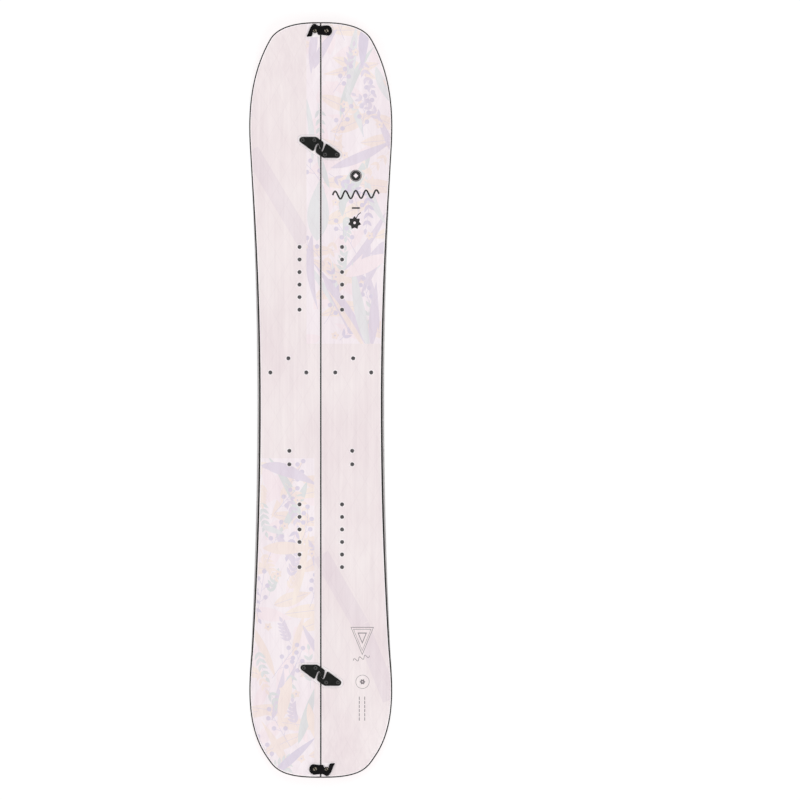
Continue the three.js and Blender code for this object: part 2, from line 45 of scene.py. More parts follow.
MM = 0.001
TIP_Y = 765
WAIST_HALF_WIDTH = 128.2
SIDECUT_RADIUS = {"nose": 8350, "tail": 10150}
TIP_CURVES = {
    "nose": [
        [(142.6, 490), (145.5, 539.4), (155, 639.4), (104.3, 728.7)],
        [(104.3, 728.7), (99.6, 736.9), (84.1, TIP_Y), (8, TIP_Y)],
    ],
    "tail": [
        [(140.5, 500), (143.2, 553.8), (158.4, 652.8), (111.5, 721.1)],
        [(111.5, 721.1), (96.4, 743), (86.3, TIP_Y), (8, TIP_Y)],
    ],
}
CAMBER = 3
CONTACT_Y = {"nose": 540, "tail": 585}
KICK_RADIUS = {"nose": 520, "tail": 420}
TIP_SLOPE = math.radians(15)

GLUE = 0.05                      # the glue line between two layers or two pieces of one layer
BASE_THICKNESS = 1.8
LAMINATE = 0.8
TOPSHEET = 0.5
CORE_MIDDLE, CORE_TIP = 3.9, 0.9
FULL_CORE_Y = 345
TAPER_Y = {"nose": 480, "tail": 525}

SEAM = 0.03                      # half of the gap that shows between the halves
FIT = 0.3
STEEL_WIDTH = 3.4
INNER_STEEL_WIDTH = 2.2
STEEL_SHOWING = (0.4, 3.4)       # at the tips and at the waist
STEEL_CORNER, STEEL_CHAMFER = 0.15, 0.7
TOPSHEET_INSET = (2.6, 6.7)
BEVEL_CENTRE_Y, BEVEL_REACH = -70, 520
SIDEWALL_WIDTH = 6
INNER_SIDEWALL_WIDTH = 5.7
SEAM_BEVEL = 1.5                 # the topsheet stops this far from the seam gap
BORDER_WIDTH = 1.6               # the pale line printed along the topsheet's edge
INLAY_THIN, INLAY_DEEP = 9.2, 26
INLAY_THIN_Y, INLAY_DEEP_Y = 660, 725
INLAY_END = {"nose": 618, "tail": 612}

INSERT_RADIUS, INSERT_BORE, INSERT_FLANGE, FLANGE_THICKNESS = 4, 2.6, 8, 1.2
INSERT_DEPTH, INSERT_RECESS = 4, 0.2
HOLE_FIT = 0.1
PUCK_X, PUCK_PITCH = 43.1, 25.4
PUCK_ROWS = {"front": 246.5, "rear": -275}
TOURING_INSERTS = [(65.6, 84.5), (102.1, 55.8), (29.3, 55.8)]
HEEL_INSERTS = [(63.7, -103), (63.7, -130.3)]
THREAD_DEPTH = 0.35

HOOK_PAIRS = {"front": (-2.2, 511.8), "rear": (0.2, -557.7)}
HOOK_THICKNESS = 3.2
HOOK_SCREWS = [(-34.6, 14.8), (-10.8, 14.8)]
WEDGE = math.radians(19)
WEDGE_SLIT = 0.55                # half of the slit between the two fingers
SCREW_HEAD, SCREW_SHANK, SCREW_HEAD_HEIGHT, SCREW_SUNK = 3.9, 2, 1.9, 0.3
SCREW_DRIVE_DEPTH = 1.2
COLLAR_HEIGHT = 0.35             # the raised ring round each screw in a hook

CLIP_X, CLIP_FROM_TIP = 11.7, 15.5
LEVER_THICKNESS, LEVER_LIFT = 3.2, 0.4
STUD_RADIUS, SLOT_HALF_WIDTH = 3.5, 4.1
BOLT_SHANK, BOLT_HEAD, BOLT_SLOT_DEPTH = 2.4, 4, 0.9
PIVOT_HEAD_HEIGHT, STUD_HEIGHT = 1.2, 0.9
NUT_FLANGE, NUT_BARREL, NUT_TOP, NUT_RECESS, NUT_FLANGE_HEIGHT = 4.4, 3.5, 3.3, 0.3, 1.2

FRAME_WIDTH = 1.6212             # metres across the picture at the board's height
FRAME_CENTRE_X = 0.1605          # the board lies left of the picture's middle
LENS, SENSOR_WIDTH = 900, 36     # so long a lens that the picture has almost no perspective
FLOOR_GLOW = 0.78                # the floor is a light table, so shadows stay faint
FLOOR_REACH = 12                 # metres
FLOOR_DROP = 0.0005
SOFTBOXES = [(40, 50, 1.05), (160, 55, 0.9), (280, 50, 0.9)]   # azimuth, elevation, strength
SOFTBOX_SPREAD = math.radians(45)
AMBIENT = 0.35


# ---- The board's side view and outline -------------------------------------------------------

def end_of(y):
    return "nose" if y > 0 else "tail"


def lerp(a, b, share):
    return a + (b - a) * share


def smooth(value, low, high):
    share = min(max((value - low) / (high - low), 0), 1)
    return share * share * (3 - 2 * share)


def base_z(y):
    """Height of the base: camber between the contact lines, then an arc and a straight kick."""
    end = end_of(y)
    past = abs(y) - CONTACT_Y[end]
    if past <= 0:
        middle = (CONTACT_Y["nose"] - CONTACT_Y["tail"]) / 2
        reach = (CONTACT_Y["nose"] + CONTACT_Y["tail"]) / 2
        return CAMBER * (1 - ((y - middle) / reach) ** 2) ** 2
    radius = KICK_RADIUS[end]
    arc = radius * math.sin(TIP_SLOPE)
    if past <= arc:
        return radius - math.sqrt(radius**2 - past**2)
    return radius * (1 - math.cos(TIP_SLOPE)) + (past - arc) * math.tan(TIP_SLOPE)


def core_thickness(y):
    return lerp(CORE_MIDDLE, CORE_TIP, smooth(abs(y), FULL_CORE_Y, TAPER_Y[end_of(y)]))


# The height of each layer's bottom and top, as functions of y.
LEVELS = {
    "base_bottom": base_z,
    "base_top": lambda y: base_z(y) + BASE_THICKNESS,
    "lower_laminate_bottom": lambda y: LEVELS["base_top"](y) + GLUE,
    "lower_laminate_top": lambda y: LEVELS["lower_laminate_bottom"](y) + LAMINATE,
    "core_bottom": lambda y: LEVELS["lower_laminate_top"](y) + GLUE,
    "core_top": lambda y: LEVELS["core_bottom"](y) + core_thickness(y),
    "upper_laminate_bottom": lambda y: LEVELS["core_top"](y) + GLUE,
    "upper_laminate_top": lambda y: LEVELS["upper_laminate_bottom"](y) + LAMINATE,
    "topsheet_bottom": lambda y: LEVELS["upper_laminate_top"](y) + GLUE,
    "topsheet_top": lambda y: LEVELS["topsheet_bottom"](y) + TOPSHEET,
}


def cubic(points, t):
    a, b, c, d = [Vector(p) for p in points]
    return (1 - t) ** 3 * a + 3 * (1 - t) ** 2 * t * b + 3 * (1 - t) * t * t * c + t**3 * d


def sidecut_x(y):
    radius = SIDECUT_RADIUS[end_of(y)]
    return WAIST_HALF_WIDTH + radius - math.sqrt(radius**2 - y * y)


CURVE_STEPS = (26, 30)
SIDECUT_YS = (-500, 491, 10)


def half_outline():
    """The right half's outer line from the tail tip to the nose tip: (x, y) and its inward normal."""
    def tip(end):
        return [cubic(points, t / steps) for points, steps in zip(TIP_CURVES[end], CURVE_STEPS)
                for t in range(1, steps + 1)]

    tail = [Vector((p.x, -p.y)) for p in reversed(tip("tail"))]
    sides = [Vector((sidecut_x(y), y)) for y in range(*SIDECUT_YS)]
    points = tail + sides + tip("nose")
    result = []
    for i, point in enumerate(points):
        along = points[min(i + 1, len(points) - 1)] - points[max(i - 1, 0)]
        if i in (0, len(points) - 1):
            along = Vector((1, 0)) if i == 0 else Vector((-1, 0))
        along.normalize()
        result.append((point, Vector((-along.y, along.x))))
    return result


OUTLINE = half_outline()


def bevel_share(y):
    return max(0, 1 - ((y - BEVEL_CENTRE_Y) / BEVEL_REACH) ** 2)


def steel_showing(y):
    return lerp(*STEEL_SHOWING, bevel_share(y))


def topsheet_inset(y):
    return lerp(*TOPSHEET_INSET, bevel_share(y))


def rail(inset):
    """The outline moved inward by a distance, or by a function of y."""
    distance = inset if callable(inset) else (lambda _: inset)
    return [point + normal * distance(point.y) for point, normal in OUTLINE]


# ---- Mesh helpers ----------------------------------------------------------------------------

def new_object(name, mesh):
    piece = bpy.data.objects.new(name, mesh)
    bpy.context.scene.collection.objects.link(piece)
    return piece


def mesh_from(name, verts, faces, sharp_angle=30):
    """A mesh in metres from points in millimetres, with outward faces and smooth shading."""
    mesh = bpy.data.meshes.new(name)
    mesh.from_pydata([Vector(v) * MM for v in verts], [], faces)
    bm = bmesh.new()
    bm.from_mesh(mesh)
    bmesh.ops.recalc_face_normals(bm, faces=bm.faces)
    bm.to_mesh(mesh)
    bm.free()
    mesh.polygons.foreach_set("use_smooth", [True] * len(mesh.polygons))
    mesh.set_sharp_from_angle(angle=math.radians(sharp_angle))
    return mesh


def swept(rings, joined=False):
    """A skin over rings of points, with a face at each end or joined from the last to the first."""
    count, last = len(rings[0]), len(rings) - 1
    faces = []
    for r in range(last + joined):
        low, high = r * count, (r + 1) % len(rings) * count
        for p in range(count):
            q = (p + 1) % count
            faces.append((low + p, low + q, high + q, high + p))
    if not joined:
        faces += [tuple(range(count))[::-1], tuple(range(last * count, (last + 1) * count))]
    return [point for ring in rings for point in ring], faces


def circle(x, y, radius, sides=32):
    turn = [2 * math.pi * k / sides for k in range(sides)]
    return [Vector((x + radius * math.cos(a), y + radius * math.sin(a))) for a in turn]


def turned(profile, sides=40):
    """A solid of revolution about Z, from (radius, z) points that start and end on the axis."""
    verts, faces, rings = [], [], []
    for radius, z in profile:
        ring = circle(0, 0, radius, sides) if radius else [(0, 0)]
        rings.append(range(len(verts), len(verts) + len(ring)))
        verts += [(*p, z) for p in ring]
    for low, high in zip(rings, rings[1:]):
        for k in range(sides):
            n = (k + 1) % sides
            corners = [ring[i % len(ring)] for ring, i in ((low, k), (low, n), (high, n), (high, k))]
            faces.append(tuple(dict.fromkeys(corners)))
    return verts, faces


def turned_ring(profile, sides=48):
    """A ring with this closed cross-section, turned about Z."""
    turn = [2 * math.pi * k / sides for k in range(sides)]
    return swept([[(r * math.cos(a), r * math.sin(a), z) for r, z in profile] for a in turn], True)


def merged(parts):
    """Several (verts, faces) as one."""
    verts, faces = [], []
    for more_verts, more_faces in parts:
        start = len(verts)
        verts += list(more_verts)
        faces += [tuple(start + i for i in face) for face in more_faces]
    return verts, faces


def placed(part, matrix):
    verts, faces = part
    return [matrix @ Vector(v) for v in verts], faces


def counterclockwise(polygon):
    area = sum(a.x * b.y - b.x * a.y for a, b in zip(polygon, polygon[1:] + polygon[:1]))
    return polygon if area > 0 else polygon[::-1]


def triangles_in(polygons, lines=()):
    """Triangles of the plane cut up by polygons and lines, each with the polygons that it lies in."""
    points, faces = [], []
    for polygon in polygons:
        faces.append(list(range(len(points), len(points) + len(polygon))))
        points += counterclockwise([Vector(p[:2]) for p in polygon])
    edges = []
    for line in lines:
        edges.append((len(points), len(points) + 1))
        points += [Vector(p) for p in line]
    flat, _, cells, _, _, origins = geometry.delaunay_2d_cdt(points, edges, faces, 1, 1e-6)
    return flat, [(tuple(cell), set(origin)) for cell, origin in zip(cells, origins)]


def rib_lines():
    """The lines across the board that every layer bends on, closer together where it curves."""
    lines = [-TIP_Y + 5]
    while lines[-1] < TIP_Y - 5:
        straight = -460 < lines[-1] < 400
        lines.append(lines[-1] + (40 if straight else 10))
    return lines


CUT_REACH = 200


def slab(edge, holes, shapes, low, high):
    """A thin layer inside edge, bent along y, with the print colours of its upper and lower faces.

    shapes are (polygon, colour) printed on it, later over earlier.
    """
    ribs = [((-CUT_REACH, y), (CUT_REACH, y)) for y in rib_lines()]
    flat, cells = triangles_in([edge, *holes, *[shape for shape, _ in shapes]], ribs)
    hole_ids = set(range(1, 1 + len(holes)))
    kept, colours = [], []
    for cell, within in cells:
        if 0 not in within or hole_ids & within:
            continue
        kept.append(cell)
        printed = max(within) - 1 - len(holes)
        colours.append(shapes[printed][1] if printed >= 0 else None)
    return thick(flat, kept, low, high), colours * 2


def thick(flat, cells, low, high):
    """Flat cells as a closed layer between two heights that depend on y."""
    used = sorted({i for cell in cells for i in cell})
    index = {old: new for new, old in enumerate(used)}
    verts = [(flat[i].x, flat[i].y, level(flat[i].y)) for level in (high, low) for i in used]
    count = len(used)
    top = [tuple(index[i] for i in cell) for cell in cells]
    bottom = [tuple(i + count for i in reversed(cell)) for cell in top]
    sides = {side for cell in top for side in zip(cell, cell[1:] + cell[:1])}
    border = sorted((a, b) for a, b in sides if (b, a) not in sides)
    walls = [(b, a, a + count, b + count) for a, b in border]
    return verts, top + bottom + walls


def linear(colour):
    """An sRGB colour of 0 to 255 as linear 0 to 1."""
    share = [c / 255 for c in colour]
    return [c / 12.92 if c <= 0.04045 else ((c + 0.055) / 1.055) ** 2.4 for c in share]


def add_colours(mesh, colours, plain):
    """Keeps printed colours and painted recess shade, face by face, in the material's colour attribute.

    Faces past the end of the list and faces with no colour are plain.
    """
    layer = mesh.color_attributes.new(name="print", type="FLOAT_COLOR", domain="CORNER")
    for i, polygon in enumerate(mesh.polygons):
        printed = colours[i] if i < len(colours) else None
        value = (*linear(printed or plain), 1)
        for loop in polygon.loop_indices:
            layer.data[loop].color = value


def side_sign(side):
    return 1 if side == "right" else -1


def on_side(points, side):
    return [Vector((side_sign(side) * p[0], *p[1:])) for p in points]


# ---- Materials -------------------------------------------------------------------------------

class Nodes:
    """A material's node tree, with short calls for the nodes used below."""

    def __init__(self, name, **settings):
        self.material = bpy.data.materials.new(name)
        self.material.use_nodes = True
        self.tree = self.material.node_tree
        self.shader = self.tree.nodes["Principled BSDF"]
        for socket, value in settings.items():
            self.shader.inputs[socket.replace("_", " ")].default_value = value

    def add(self, kind, inputs=None, **settings):
        node = self.tree.nodes.new(kind)
        for key, value in settings.items():
            setattr(node, key, value)
        for key, value in (inputs or {}).items():
            if isinstance(value, bpy.types.NodeSocket):
                self.tree.links.new(value, node.inputs[key])
            else:
                node.inputs[key].default_value = value
        return node

    def finished(self, colour, roughness, normal):
        """The material, with the three sockets that all of them link."""
        for socket, output in (("Base Color", colour), ("Roughness", roughness), ("Normal", normal)):
            self.tree.links.new(output, self.shader.inputs[socket])
        return self.material

    # The print attribute: print on the board's sheets, painted shade in the drive recesses of screws, bolts
    # and nuts.
    def printed(self):
        return self.add("ShaderNodeVertexColor", layer_name="print").outputs["Color"]

    def place(self, scale=(1, 1, 1)):
        """Object coordinates in metres, stretched."""
        where = self.add("ShaderNodeTexCoord")
        return self.add("ShaderNodeMapping", {"Vector": where.outputs["Object"], "Scale": scale}).outputs[0]

    def noise(self, scale, stretch=(1, 1, 1), detail=4, rough=0.55):
        vector = self.place(stretch)
        inputs = {"Vector": vector, "Scale": scale, "Detail": detail, "Roughness": rough}
        return self.add("ShaderNodeTexNoise", inputs).outputs["Fac"]

    def ramp(self, value, stops):
        node = self.add("ShaderNodeValToRGB", {"Fac": value})
        ramp = node.color_ramp
        while len(ramp.elements) < len(stops):
            ramp.elements.new(0.5)
        for element, (position, colour) in zip(ramp.elements, stops):
            element.position = position
            element.color = (*colour, 1)
        return node.outputs["Color"]

    def spread(self, value, low, high, from_low=0.3, from_high=0.7):
        inputs = {"Value": value, "To Min": low, "To Max": high}
        inputs |= {"From Min": from_low, "From Max": from_high}
        return self.add("ShaderNodeMapRange", inputs).outputs["Result"]

    def math(self, operation, a, b=0.0):
        return self.add("ShaderNodeMath", {0: a, 1: b}, operation=operation).outputs[0]

    def mix(self, factor, a, b, blend="MIX"):
        node = self.add("ShaderNodeMix", data_type="RGBA", blend_type=blend)
        for socket, value in ((0, factor), (6, a), (7, b)):
            if isinstance(value, bpy.types.NodeSocket):
                self.tree.links.new(value, node.inputs[socket])
            else:
                node.inputs[socket].default_value = value if socket == 0 else (*value, 1)
        return node.outputs[2]

    def bump(self, height, strength, distance, below=None):
        inputs = {"Height": height, "Strength": strength, "Distance": distance}
        if below is not None:
            inputs["Normal"] = below
        return self.add("ShaderNodeBump", inputs).outputs["Normal"]


def lattice(nodes, across, along, width):
    """1 on two sets of crossing thin lines, a diamond net, and 0 between them."""
    where = nodes.add("ShaderNodeSeparateXYZ", {"Vector": nodes.place()})
    x = nodes.math("DIVIDE", where.outputs["X"], across)
    y = nodes.math("DIVIDE", where.outputs["Y"], along)
    lines = []
    for operation in ("ADD", "SUBTRACT"):
        phase = nodes.math("PINGPONG", nodes.math(operation, x, y), 0.5)
        lines.append(nodes.spread(phase, 1, 0, 0, width))
    return nodes.math("MAXIMUM", lines[0], lines[1])


def topsheet_material():
    """Print on a clear nylon sheet, tinted by clouds, wood fibres and a faint diamond net."""
    n = Nodes("topsheet_print", Roughness=0.4, Coat_Weight=0.15, Coat_Roughness=0.2)
    fibres = n.math("ADD", n.noise(260, (1, 0.05, 1), detail=3), n.noise(90, (1, 0.03, 1), detail=2))
    net = lattice(n, 0.036, 0.066, 0.03)
    tints = [
        (n.spread(n.noise(9, (1, 0.6, 1)), 0, 0.35), (229, 214, 222)),
        (n.spread(fibres, 0, 0.16, 0.75, 1.25), (212, 202, 209)),
        (n.math("MULTIPLY", net, 0.13), (218, 207, 216)),
    ]
    colour = n.printed()
    for share, tint in tints:
        colour = n.mix(share, colour, linear(tint), "MULTIPLY")
    grain = n.bump(n.noise(1500, detail=2), 0.10, 0.0001)
    return n.finished(colour, n.spread(n.noise(40), 0.34, 0.48), n.bump(net, 0.15, 0.0001, grain))


def base_material(name, tint):
    """Sintered polyethylene with a stone ground structure that runs along the board."""
    n = Nodes(name, Roughness=0.35, Specular_IOR_Level=0.4)
    speck = n.noise(700, (1, 1, 1), detail=5, rough=0.7)
    colour = n.mix(n.spread(speck, 0, 0.25), n.printed(), tint)
    ground = n.noise(900, (1, 0.012, 1), detail=3)
    return n.finished(colour, n.spread(n.noise(60, (1, 0.2, 1)), 0.30, 0.46), n.bump(ground, 0.25, 0.0001))


def steel_material(name, dark, light, stretch=(1, 1, 1), driven=False):
    """Brushed metal. A driven head gets painted shade in its drive recess from the print attribute."""
    n = Nodes(name, Metallic=1.0, Roughness=0.3)
    brushed = n.noise(1200, stretch, detail=3)
    colour = n.ramp(brushed, [(0.3, dark), (0.7, light)])
    if driven:
        # painted shade: the colour attribute darkens the drive recess's floor
        colour = n.mix(1.0, colour, n.printed(), "MULTIPLY")
    return n.finished(colour, n.spread(n.noise(90), 0.32, 0.42), n.bump(brushed, 0.12, 0.00005))


def plastic_material(name, dark, light, roughness, specular):
    """Black moulded nylon with a fine spark-eroded grain."""
    n = Nodes(name, Roughness=roughness, Specular_IOR_Level=specular)
    colour = n.ramp(n.noise(120, detail=5), [(0.35, dark), (0.75, light)])
    worn = n.spread(n.noise(300), roughness - 0.08, roughness + 0.1)
    return n.finished(colour, worn, n.bump(n.noise(2200, detail=2), 0.3, 0.00008))


def sidewall_material():
    """ABS that was planed along the board after pressing."""
    n = Nodes("sidewall_abs", Roughness=0.4, Specular_IOR_Level=0.1)
    planed = n.noise(1500, (1, 0.01, 1), detail=3)
    colour = n.ramp(planed, [(0.3, (0.0055, 0.0042, 0.0045)), (0.75, (0.014, 0.011, 0.0115))])
    return n.finished(colour, n.spread(planed, 0.32, 0.5), n.bump(planed, 0.2, 0.0001))


def laminate_material():
    """Glass cloth in dark resin."""
    n = Nodes("glass_laminate", Roughness=0.45, Specular_IOR_Level=0.15)
    weave = n.add("ShaderNodeTexChecker", {"Vector": n.place(), "Scale": 2400.0}).outputs["Fac"]
    worn = n.math("MULTIPLY", weave, n.noise(500))
    colour = n.ramp(worn, [(0.1, (0.009, 0.006, 0.0065)), (0.6, (0.025, 0.018, 0.019))])
    return n.finished(colour, n.spread(worn, 0.35, 0.55, 0, 1), n.bump(weave, 0.2, 0.00005))


def wood_material():
    """Stringers glued side by side, each with its own tone and grain along the board."""
    n = Nodes("wood_core", Roughness=0.65)
    where = n.add("ShaderNodeSeparateXYZ", {"Vector": n.place()})
    stringer = n.math("FLOOR", n.math("DIVIDE", where.outputs["X"], 0.012))
    tone = n.add("ShaderNodeTexWhiteNoise", {"W": stringer}, noise_dimensions="1D").outputs["Value"]
    grain = n.noise(220, (1, 0.04, 1), detail=6, rough=0.65)
    wood = n.ramp(grain, [(0.3, (0.52, 0.34, 0.17)), (0.7, (0.68, 0.49, 0.28))])
    colour = n.mix(n.spread(tone, 0, 0.4, 0, 1), wood, (0.45, 0.27, 0.12))
    return n.finished(colour, n.spread(grain, 0.55, 0.75), n.bump(grain, 0.25, 0.0001))


BASE_BLACK = (30, 29, 29)
CORAL = (238, 88, 112)
TOP_PLAIN = (241, 232, 232)

ALONG_THE_BOARD = (1, 0.02, 1)

MATERIALS = {
    "topsheet": topsheet_material(),
    "base": base_material("base_polyethylene", (0.016, 0.016, 0.016)),
    "inlay": base_material("coral_polyethylene", (0.80, 0.10, 0.16)),
    "steel_edge": steel_material("edge_steel", (0.51, 0.49, 0.49), (0.61, 0.59, 0.59), ALONG_THE_BOARD),
    "inner_steel": steel_material("seam_edge_steel", (0.31, 0.30, 0.30), (0.43, 0.42, 0.42),
                                  ALONG_THE_BOARD),
    "sidewall": sidewall_material(),
    "laminate": laminate_material(),
    "core_wood": wood_material(),
    "insert_metal": steel_material("insert_steel", (0.16, 0.155, 0.16), (0.26, 0.25, 0.255)),
    "hook_plastic": plastic_material("hook_nylon", (0.006, 0.007, 0.006), (0.013, 0.014, 0.013),
                                     0.45, 0.12),
    "clip_lever_plastic": plastic_material("lever_nylon", (0.002, 0.002, 0.002), (0.006, 0.005, 0.006),
                                           0.4, 0.06),
    # the three driven metals below take painted shade in their drive recesses from the colour attribute
    "hook_screw_metal": steel_material("black_screw_steel", (0.05, 0.05, 0.05), (0.11, 0.11, 0.108),
                                       driven=True),
    "clip_bolt_metal": steel_material("bolt_steel", (0.07, 0.06, 0.05), (0.30, 0.27, 0.22), driven=True),
    "nut_metal": steel_material("nut_steel", (0.26, 0.26, 0.27), (0.45, 0.45, 0.46), driven=True),
}


def add_piece(name, mesh, body, slot, node, material=None):
    """A finished piece: its material, the body it rides on and the CAD node it stands for."""
    mesh.materials.append(MATERIALS[material or slot])
    piece = new_object(name, mesh)
    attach(piece, body)
    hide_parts(node)
    return piece


# ---- The print on the topsheet ---------------------------------------------------------------

PEACH = (243, 230, 224)
CREAM = (245, 233, 225)
LAVENDER = (227, 218, 229)
LILAC = (221, 213, 227)
MINT = (230, 230, 231)
SAGE = (223, 225, 225)
BLUSH = (245, 233, 236)
MAUVE = (235, 225, 228)
PATCH = (245, 237, 240)
SLATE = (128, 120, 124)
INK = (8, 6, 7)
BORDER = (252, 248, 248)
KEYLINE = (205, 192, 198)
WHITE = (255, 255, 255)
# painted shade for the floors of drive recesses in screws, bolts and nuts
RECESS_PAINTED_SHADE = (70, 66, 52)


def turned_points(points, x, y, angle):
    cos, sin = math.cos(angle), math.sin(angle)
    return [Vector((x + u * cos - v * sin, y + u * sin + v * cos)) for u, v in points]


def leaf(x, y, length, width, angle, bend=0.0, steps=9):
    """A pointed leaf that starts at (x, y) and runs along angle."""
    def edge(sign):
        bulge = [math.sin(math.pi * (k / steps) ** 0.8) for k in range(steps + 1)]
        return [(length * k / steps, sign * width / 2 * bulge[k] + bend * length * (k / steps) ** 2)
                for k in range(steps + 1)]

    upper, lower = edge(1), edge(-1)
    return turned_points(upper[:-1] + lower[:0:-1], x, y, angle)


def stroke(points, width):
    """A line of even width along points."""
    left, right = [], []
    for i, point in enumerate(points):
        along = points[min(i + 1, len(points) - 1)] - points[max(i - 1, 0)]
        normal = Vector((-along.y, along.x)).normalized() * width / 2
        left.append(point + normal)
        right.append(point - normal)
    return left + right[::-1]


def curve_points(x, y, length, angle, bend, steps=12):
    along = [(length * k / steps, bend * length * (k / steps) ** 2) for k in range(steps + 1)]
    return turned_points(along, x, y, angle)


def heading_at(angle, bend, share):
    return angle + math.atan(2 * bend * share)


def sprig(x, y, length, angle, bend, pairs, colour):
    """A thin stem with pairs of slender leaves and one at its end."""
    shapes = [(stroke(curve_points(x, y, length, angle, bend), 0.9), colour)]
    for k in range(pairs + 1):
        share = 0.2 + 0.8 * k / pairs
        spot = curve_points(x, y, length * share, angle, bend * share)[-1]
        size = 20 * (1 - 0.35 * share)
        turns = (0,) if k == pairs else (0.65, -0.65)
        for turn in turns:
            heading = heading_at(angle, bend, share) + turn
            shapes.append((leaf(spot.x, spot.y, size, 6.5, heading, 0.12), colour))
    return shapes


def berries(x, y, length, angle, bend, count, colour):
    """A thin branching stem with a round berry at the end of each branch."""
    shapes = [(stroke(curve_points(x, y, length, angle, bend), 0.9), colour)]
    for k in range(count):
        share = 0.35 + 0.65 * k / (count - 1)
        spot = curve_points(x, y, length * share, angle, bend * share)[-1]
        turn = 0 if k == count - 1 else 0.7 * (1 if k % 2 else -1)
        heading = heading_at(angle, bend, share) + turn
        tip = spot + Vector((math.cos(heading), math.sin(heading))) * length * 0.22
        shapes += [(stroke([spot, tip], 0.8), colour), (circle(tip.x, tip.y, 4.6, 20), colour)]
    return shapes


def broad_leaf(x, y, length, width, angle, bend, colour, vein):
    """A broad leaf with a thin midrib."""
    rib = curve_points(x, y, length * 0.9, angle, bend * 0.9)
    return [(leaf(x, y, length, width, angle, bend, 16), colour), (stroke(rib, 0.9), vein)]


def flower(x, y, radius, petals, colour, centre, turn=0.0):
    shapes = []
    for k in range(petals):
        angle = turn + 2 * math.pi * k / petals
        shapes.append((leaf(x, y, radius, radius * 0.75, angle), colour))
    shapes.append((circle(x, y, radius * 0.2, 14), centre))
    return shapes


def scattered(rng, box, count):
    """Places spread over a box, two to a row."""
    (x0, y0), (x1, y1) = box
    rows = math.ceil(count / 2)
    for k in range(count):
        x = lerp(x0, x1, (k % 2 + rng.uniform(0.1, 0.9)) / 2)
        yield x, lerp(y0, y1, (k // 2 + rng.uniform(0.1, 0.9)) / rows)


def garden(box, seed, count, blades):
    """Layers of pastel plants over a box: big petals and leaves first, then blades, then sprigs.

    blades are the colours that the long blades take.
    """
    rng = random.Random(seed)
    shapes = []
    for x, y in scattered(rng, box, count):
        length, width, angle = rng.uniform(60, 90), rng.uniform(22, 34), rng.uniform(0, 6.2)
        shapes.append((leaf(x, y, length, width, angle), BLUSH))
    for x, y in scattered(rng, box, count):
        angle = rng.choice((0, math.pi)) + rng.uniform(-0.5, 0.5)
        colour = rng.choice((PEACH, CREAM, PEACH))
        length, width, bend = rng.uniform(80, 120), rng.uniform(22, 30), rng.uniform(-0.15, 0.15)
        shapes += broad_leaf(x, y, length, width, angle, bend, colour, LAVENDER)
    for x, y in scattered(rng, box, count):
        angle = rng.choice((1, -1)) * rng.uniform(1.0, 2.0)
        colour = rng.choice(blades)
        length, width, bend = rng.uniform(90, 160), rng.uniform(11, 19), rng.uniform(-0.3, 0.3)
        shapes.append((leaf(x, y, length, width, angle, bend, 16), colour))
    for x, y in scattered(rng, box, count):
        angle = rng.choice((1, -1)) * rng.uniform(0.6, 2.4)
        colour = rng.choice((LILAC, SAGE, PEACH, LAVENDER))
        length, bend, pairs = rng.uniform(45, 80), rng.uniform(-0.3, 0.3), rng.randrange(3, 6)
        shapes += sprig(x, y, length, angle, bend, pairs, colour)
    for x, y in scattered(rng, box, math.ceil(count / 2)):
        angle = rng.uniform(0.8, 2.2)
        shapes += berries(x, y, rng.uniform(50, 80), angle, rng.uniform(-0.3, 0.3), 5, LILAC)
        shapes += flower(x + 22, y - 24, 9, 5, PEACH, LILAC, rng.uniform(0, 1))
    return shapes


def clipped(polygon, box):
    """A polygon cut off square at a box's sides."""
    (x0, y0), (x1, y1) = box
    for axis, limit, sign in ((0, x0, 1), (0, x1, -1), (1, y0, 1), (1, y1, -1)):
        kept = []
        for a, b in zip(polygon, polygon[1:] + polygon[:1]):
            in_a, in_b = sign * (a[axis] - limit) >= 0, sign * (b[axis] - limit) >= 0
            if in_a:
                kept.append(a)
            if in_a != in_b:
                kept.append(a.lerp(b, (limit - a[axis]) / (b[axis] - a[axis])))
        polygon = kept
        if len(polygon) < 3:
            return None
    return polygon


def only_in(shapes, box):
    """The shapes that reach into a box, cut off at its sides."""
    cut = [(clipped(polygon, box), colour) for polygon, colour in shapes]
    return [(polygon, colour) for polygon, colour in cut if polygon]


UPPER_PATCH = ((-29.0, 114.0), (150.0, 770.0))
LOWER_PATCH = ((-150.0, -770.0), (-13.0, -118.0))


def sweeps():
    """The big blades that cross the two printed areas."""
    upper = [
        (100, 101, 215, 17, 2.05, 0.10, LAVENDER), (99, 101, 185, 22, 1.86, -0.10, MINT),
        (94, 98, 150, 11, 2.12, 0.02, PEACH), (103, 106, 135, 19, 1.50, 0.0, LAVENDER),
        (-8, 322, 125, 44, 1.52, 0.0, MINT), (50, 250, 110, 30, 0.55, -0.1, BLUSH),
        (20, 470, 140, 20, 0.30, 0.12, LAVENDER), (92, 765, 95, 20, -1.75, 0.1, LILAC),
    ]
    lower = [
        (-122, -133, 118, 26, -0.05, -0.30, LAVENDER), (-118, -138, 80, 28, -0.95, -0.15, BLUSH),
        (-120, -255, 50, 12, -0.35, 0.0, MINT), (-100, -762, 120, 17, 0.72, 0.0, LILAC),
        (-60, -560, 110, 24, -1.9, 0.1, PEACH), (-118, -300, 104, 26, 0.0, 0.0, PEACH),
    ]
    return [(leaf(x, y, length, width, angle, bend, 20), colour)
            for x, y, length, width, angle, bend, colour in upper + lower]


def as_polygon(box):
    (x0, y0), (x1, y1) = box
    return [Vector((x0, y0)), Vector((x1, y0)), Vector((x1, y1)), Vector((x0, y1))]


def bands():
    """The faint diagonal bands behind the print."""
    lines = [((-142, 505), (-30, 318)), ((0, -314), (81, -456)), ((81, -456), (142, -607))]
    return [(stroke([Vector(a), Vector(b)], 34), MAUVE) for a, b in lines]


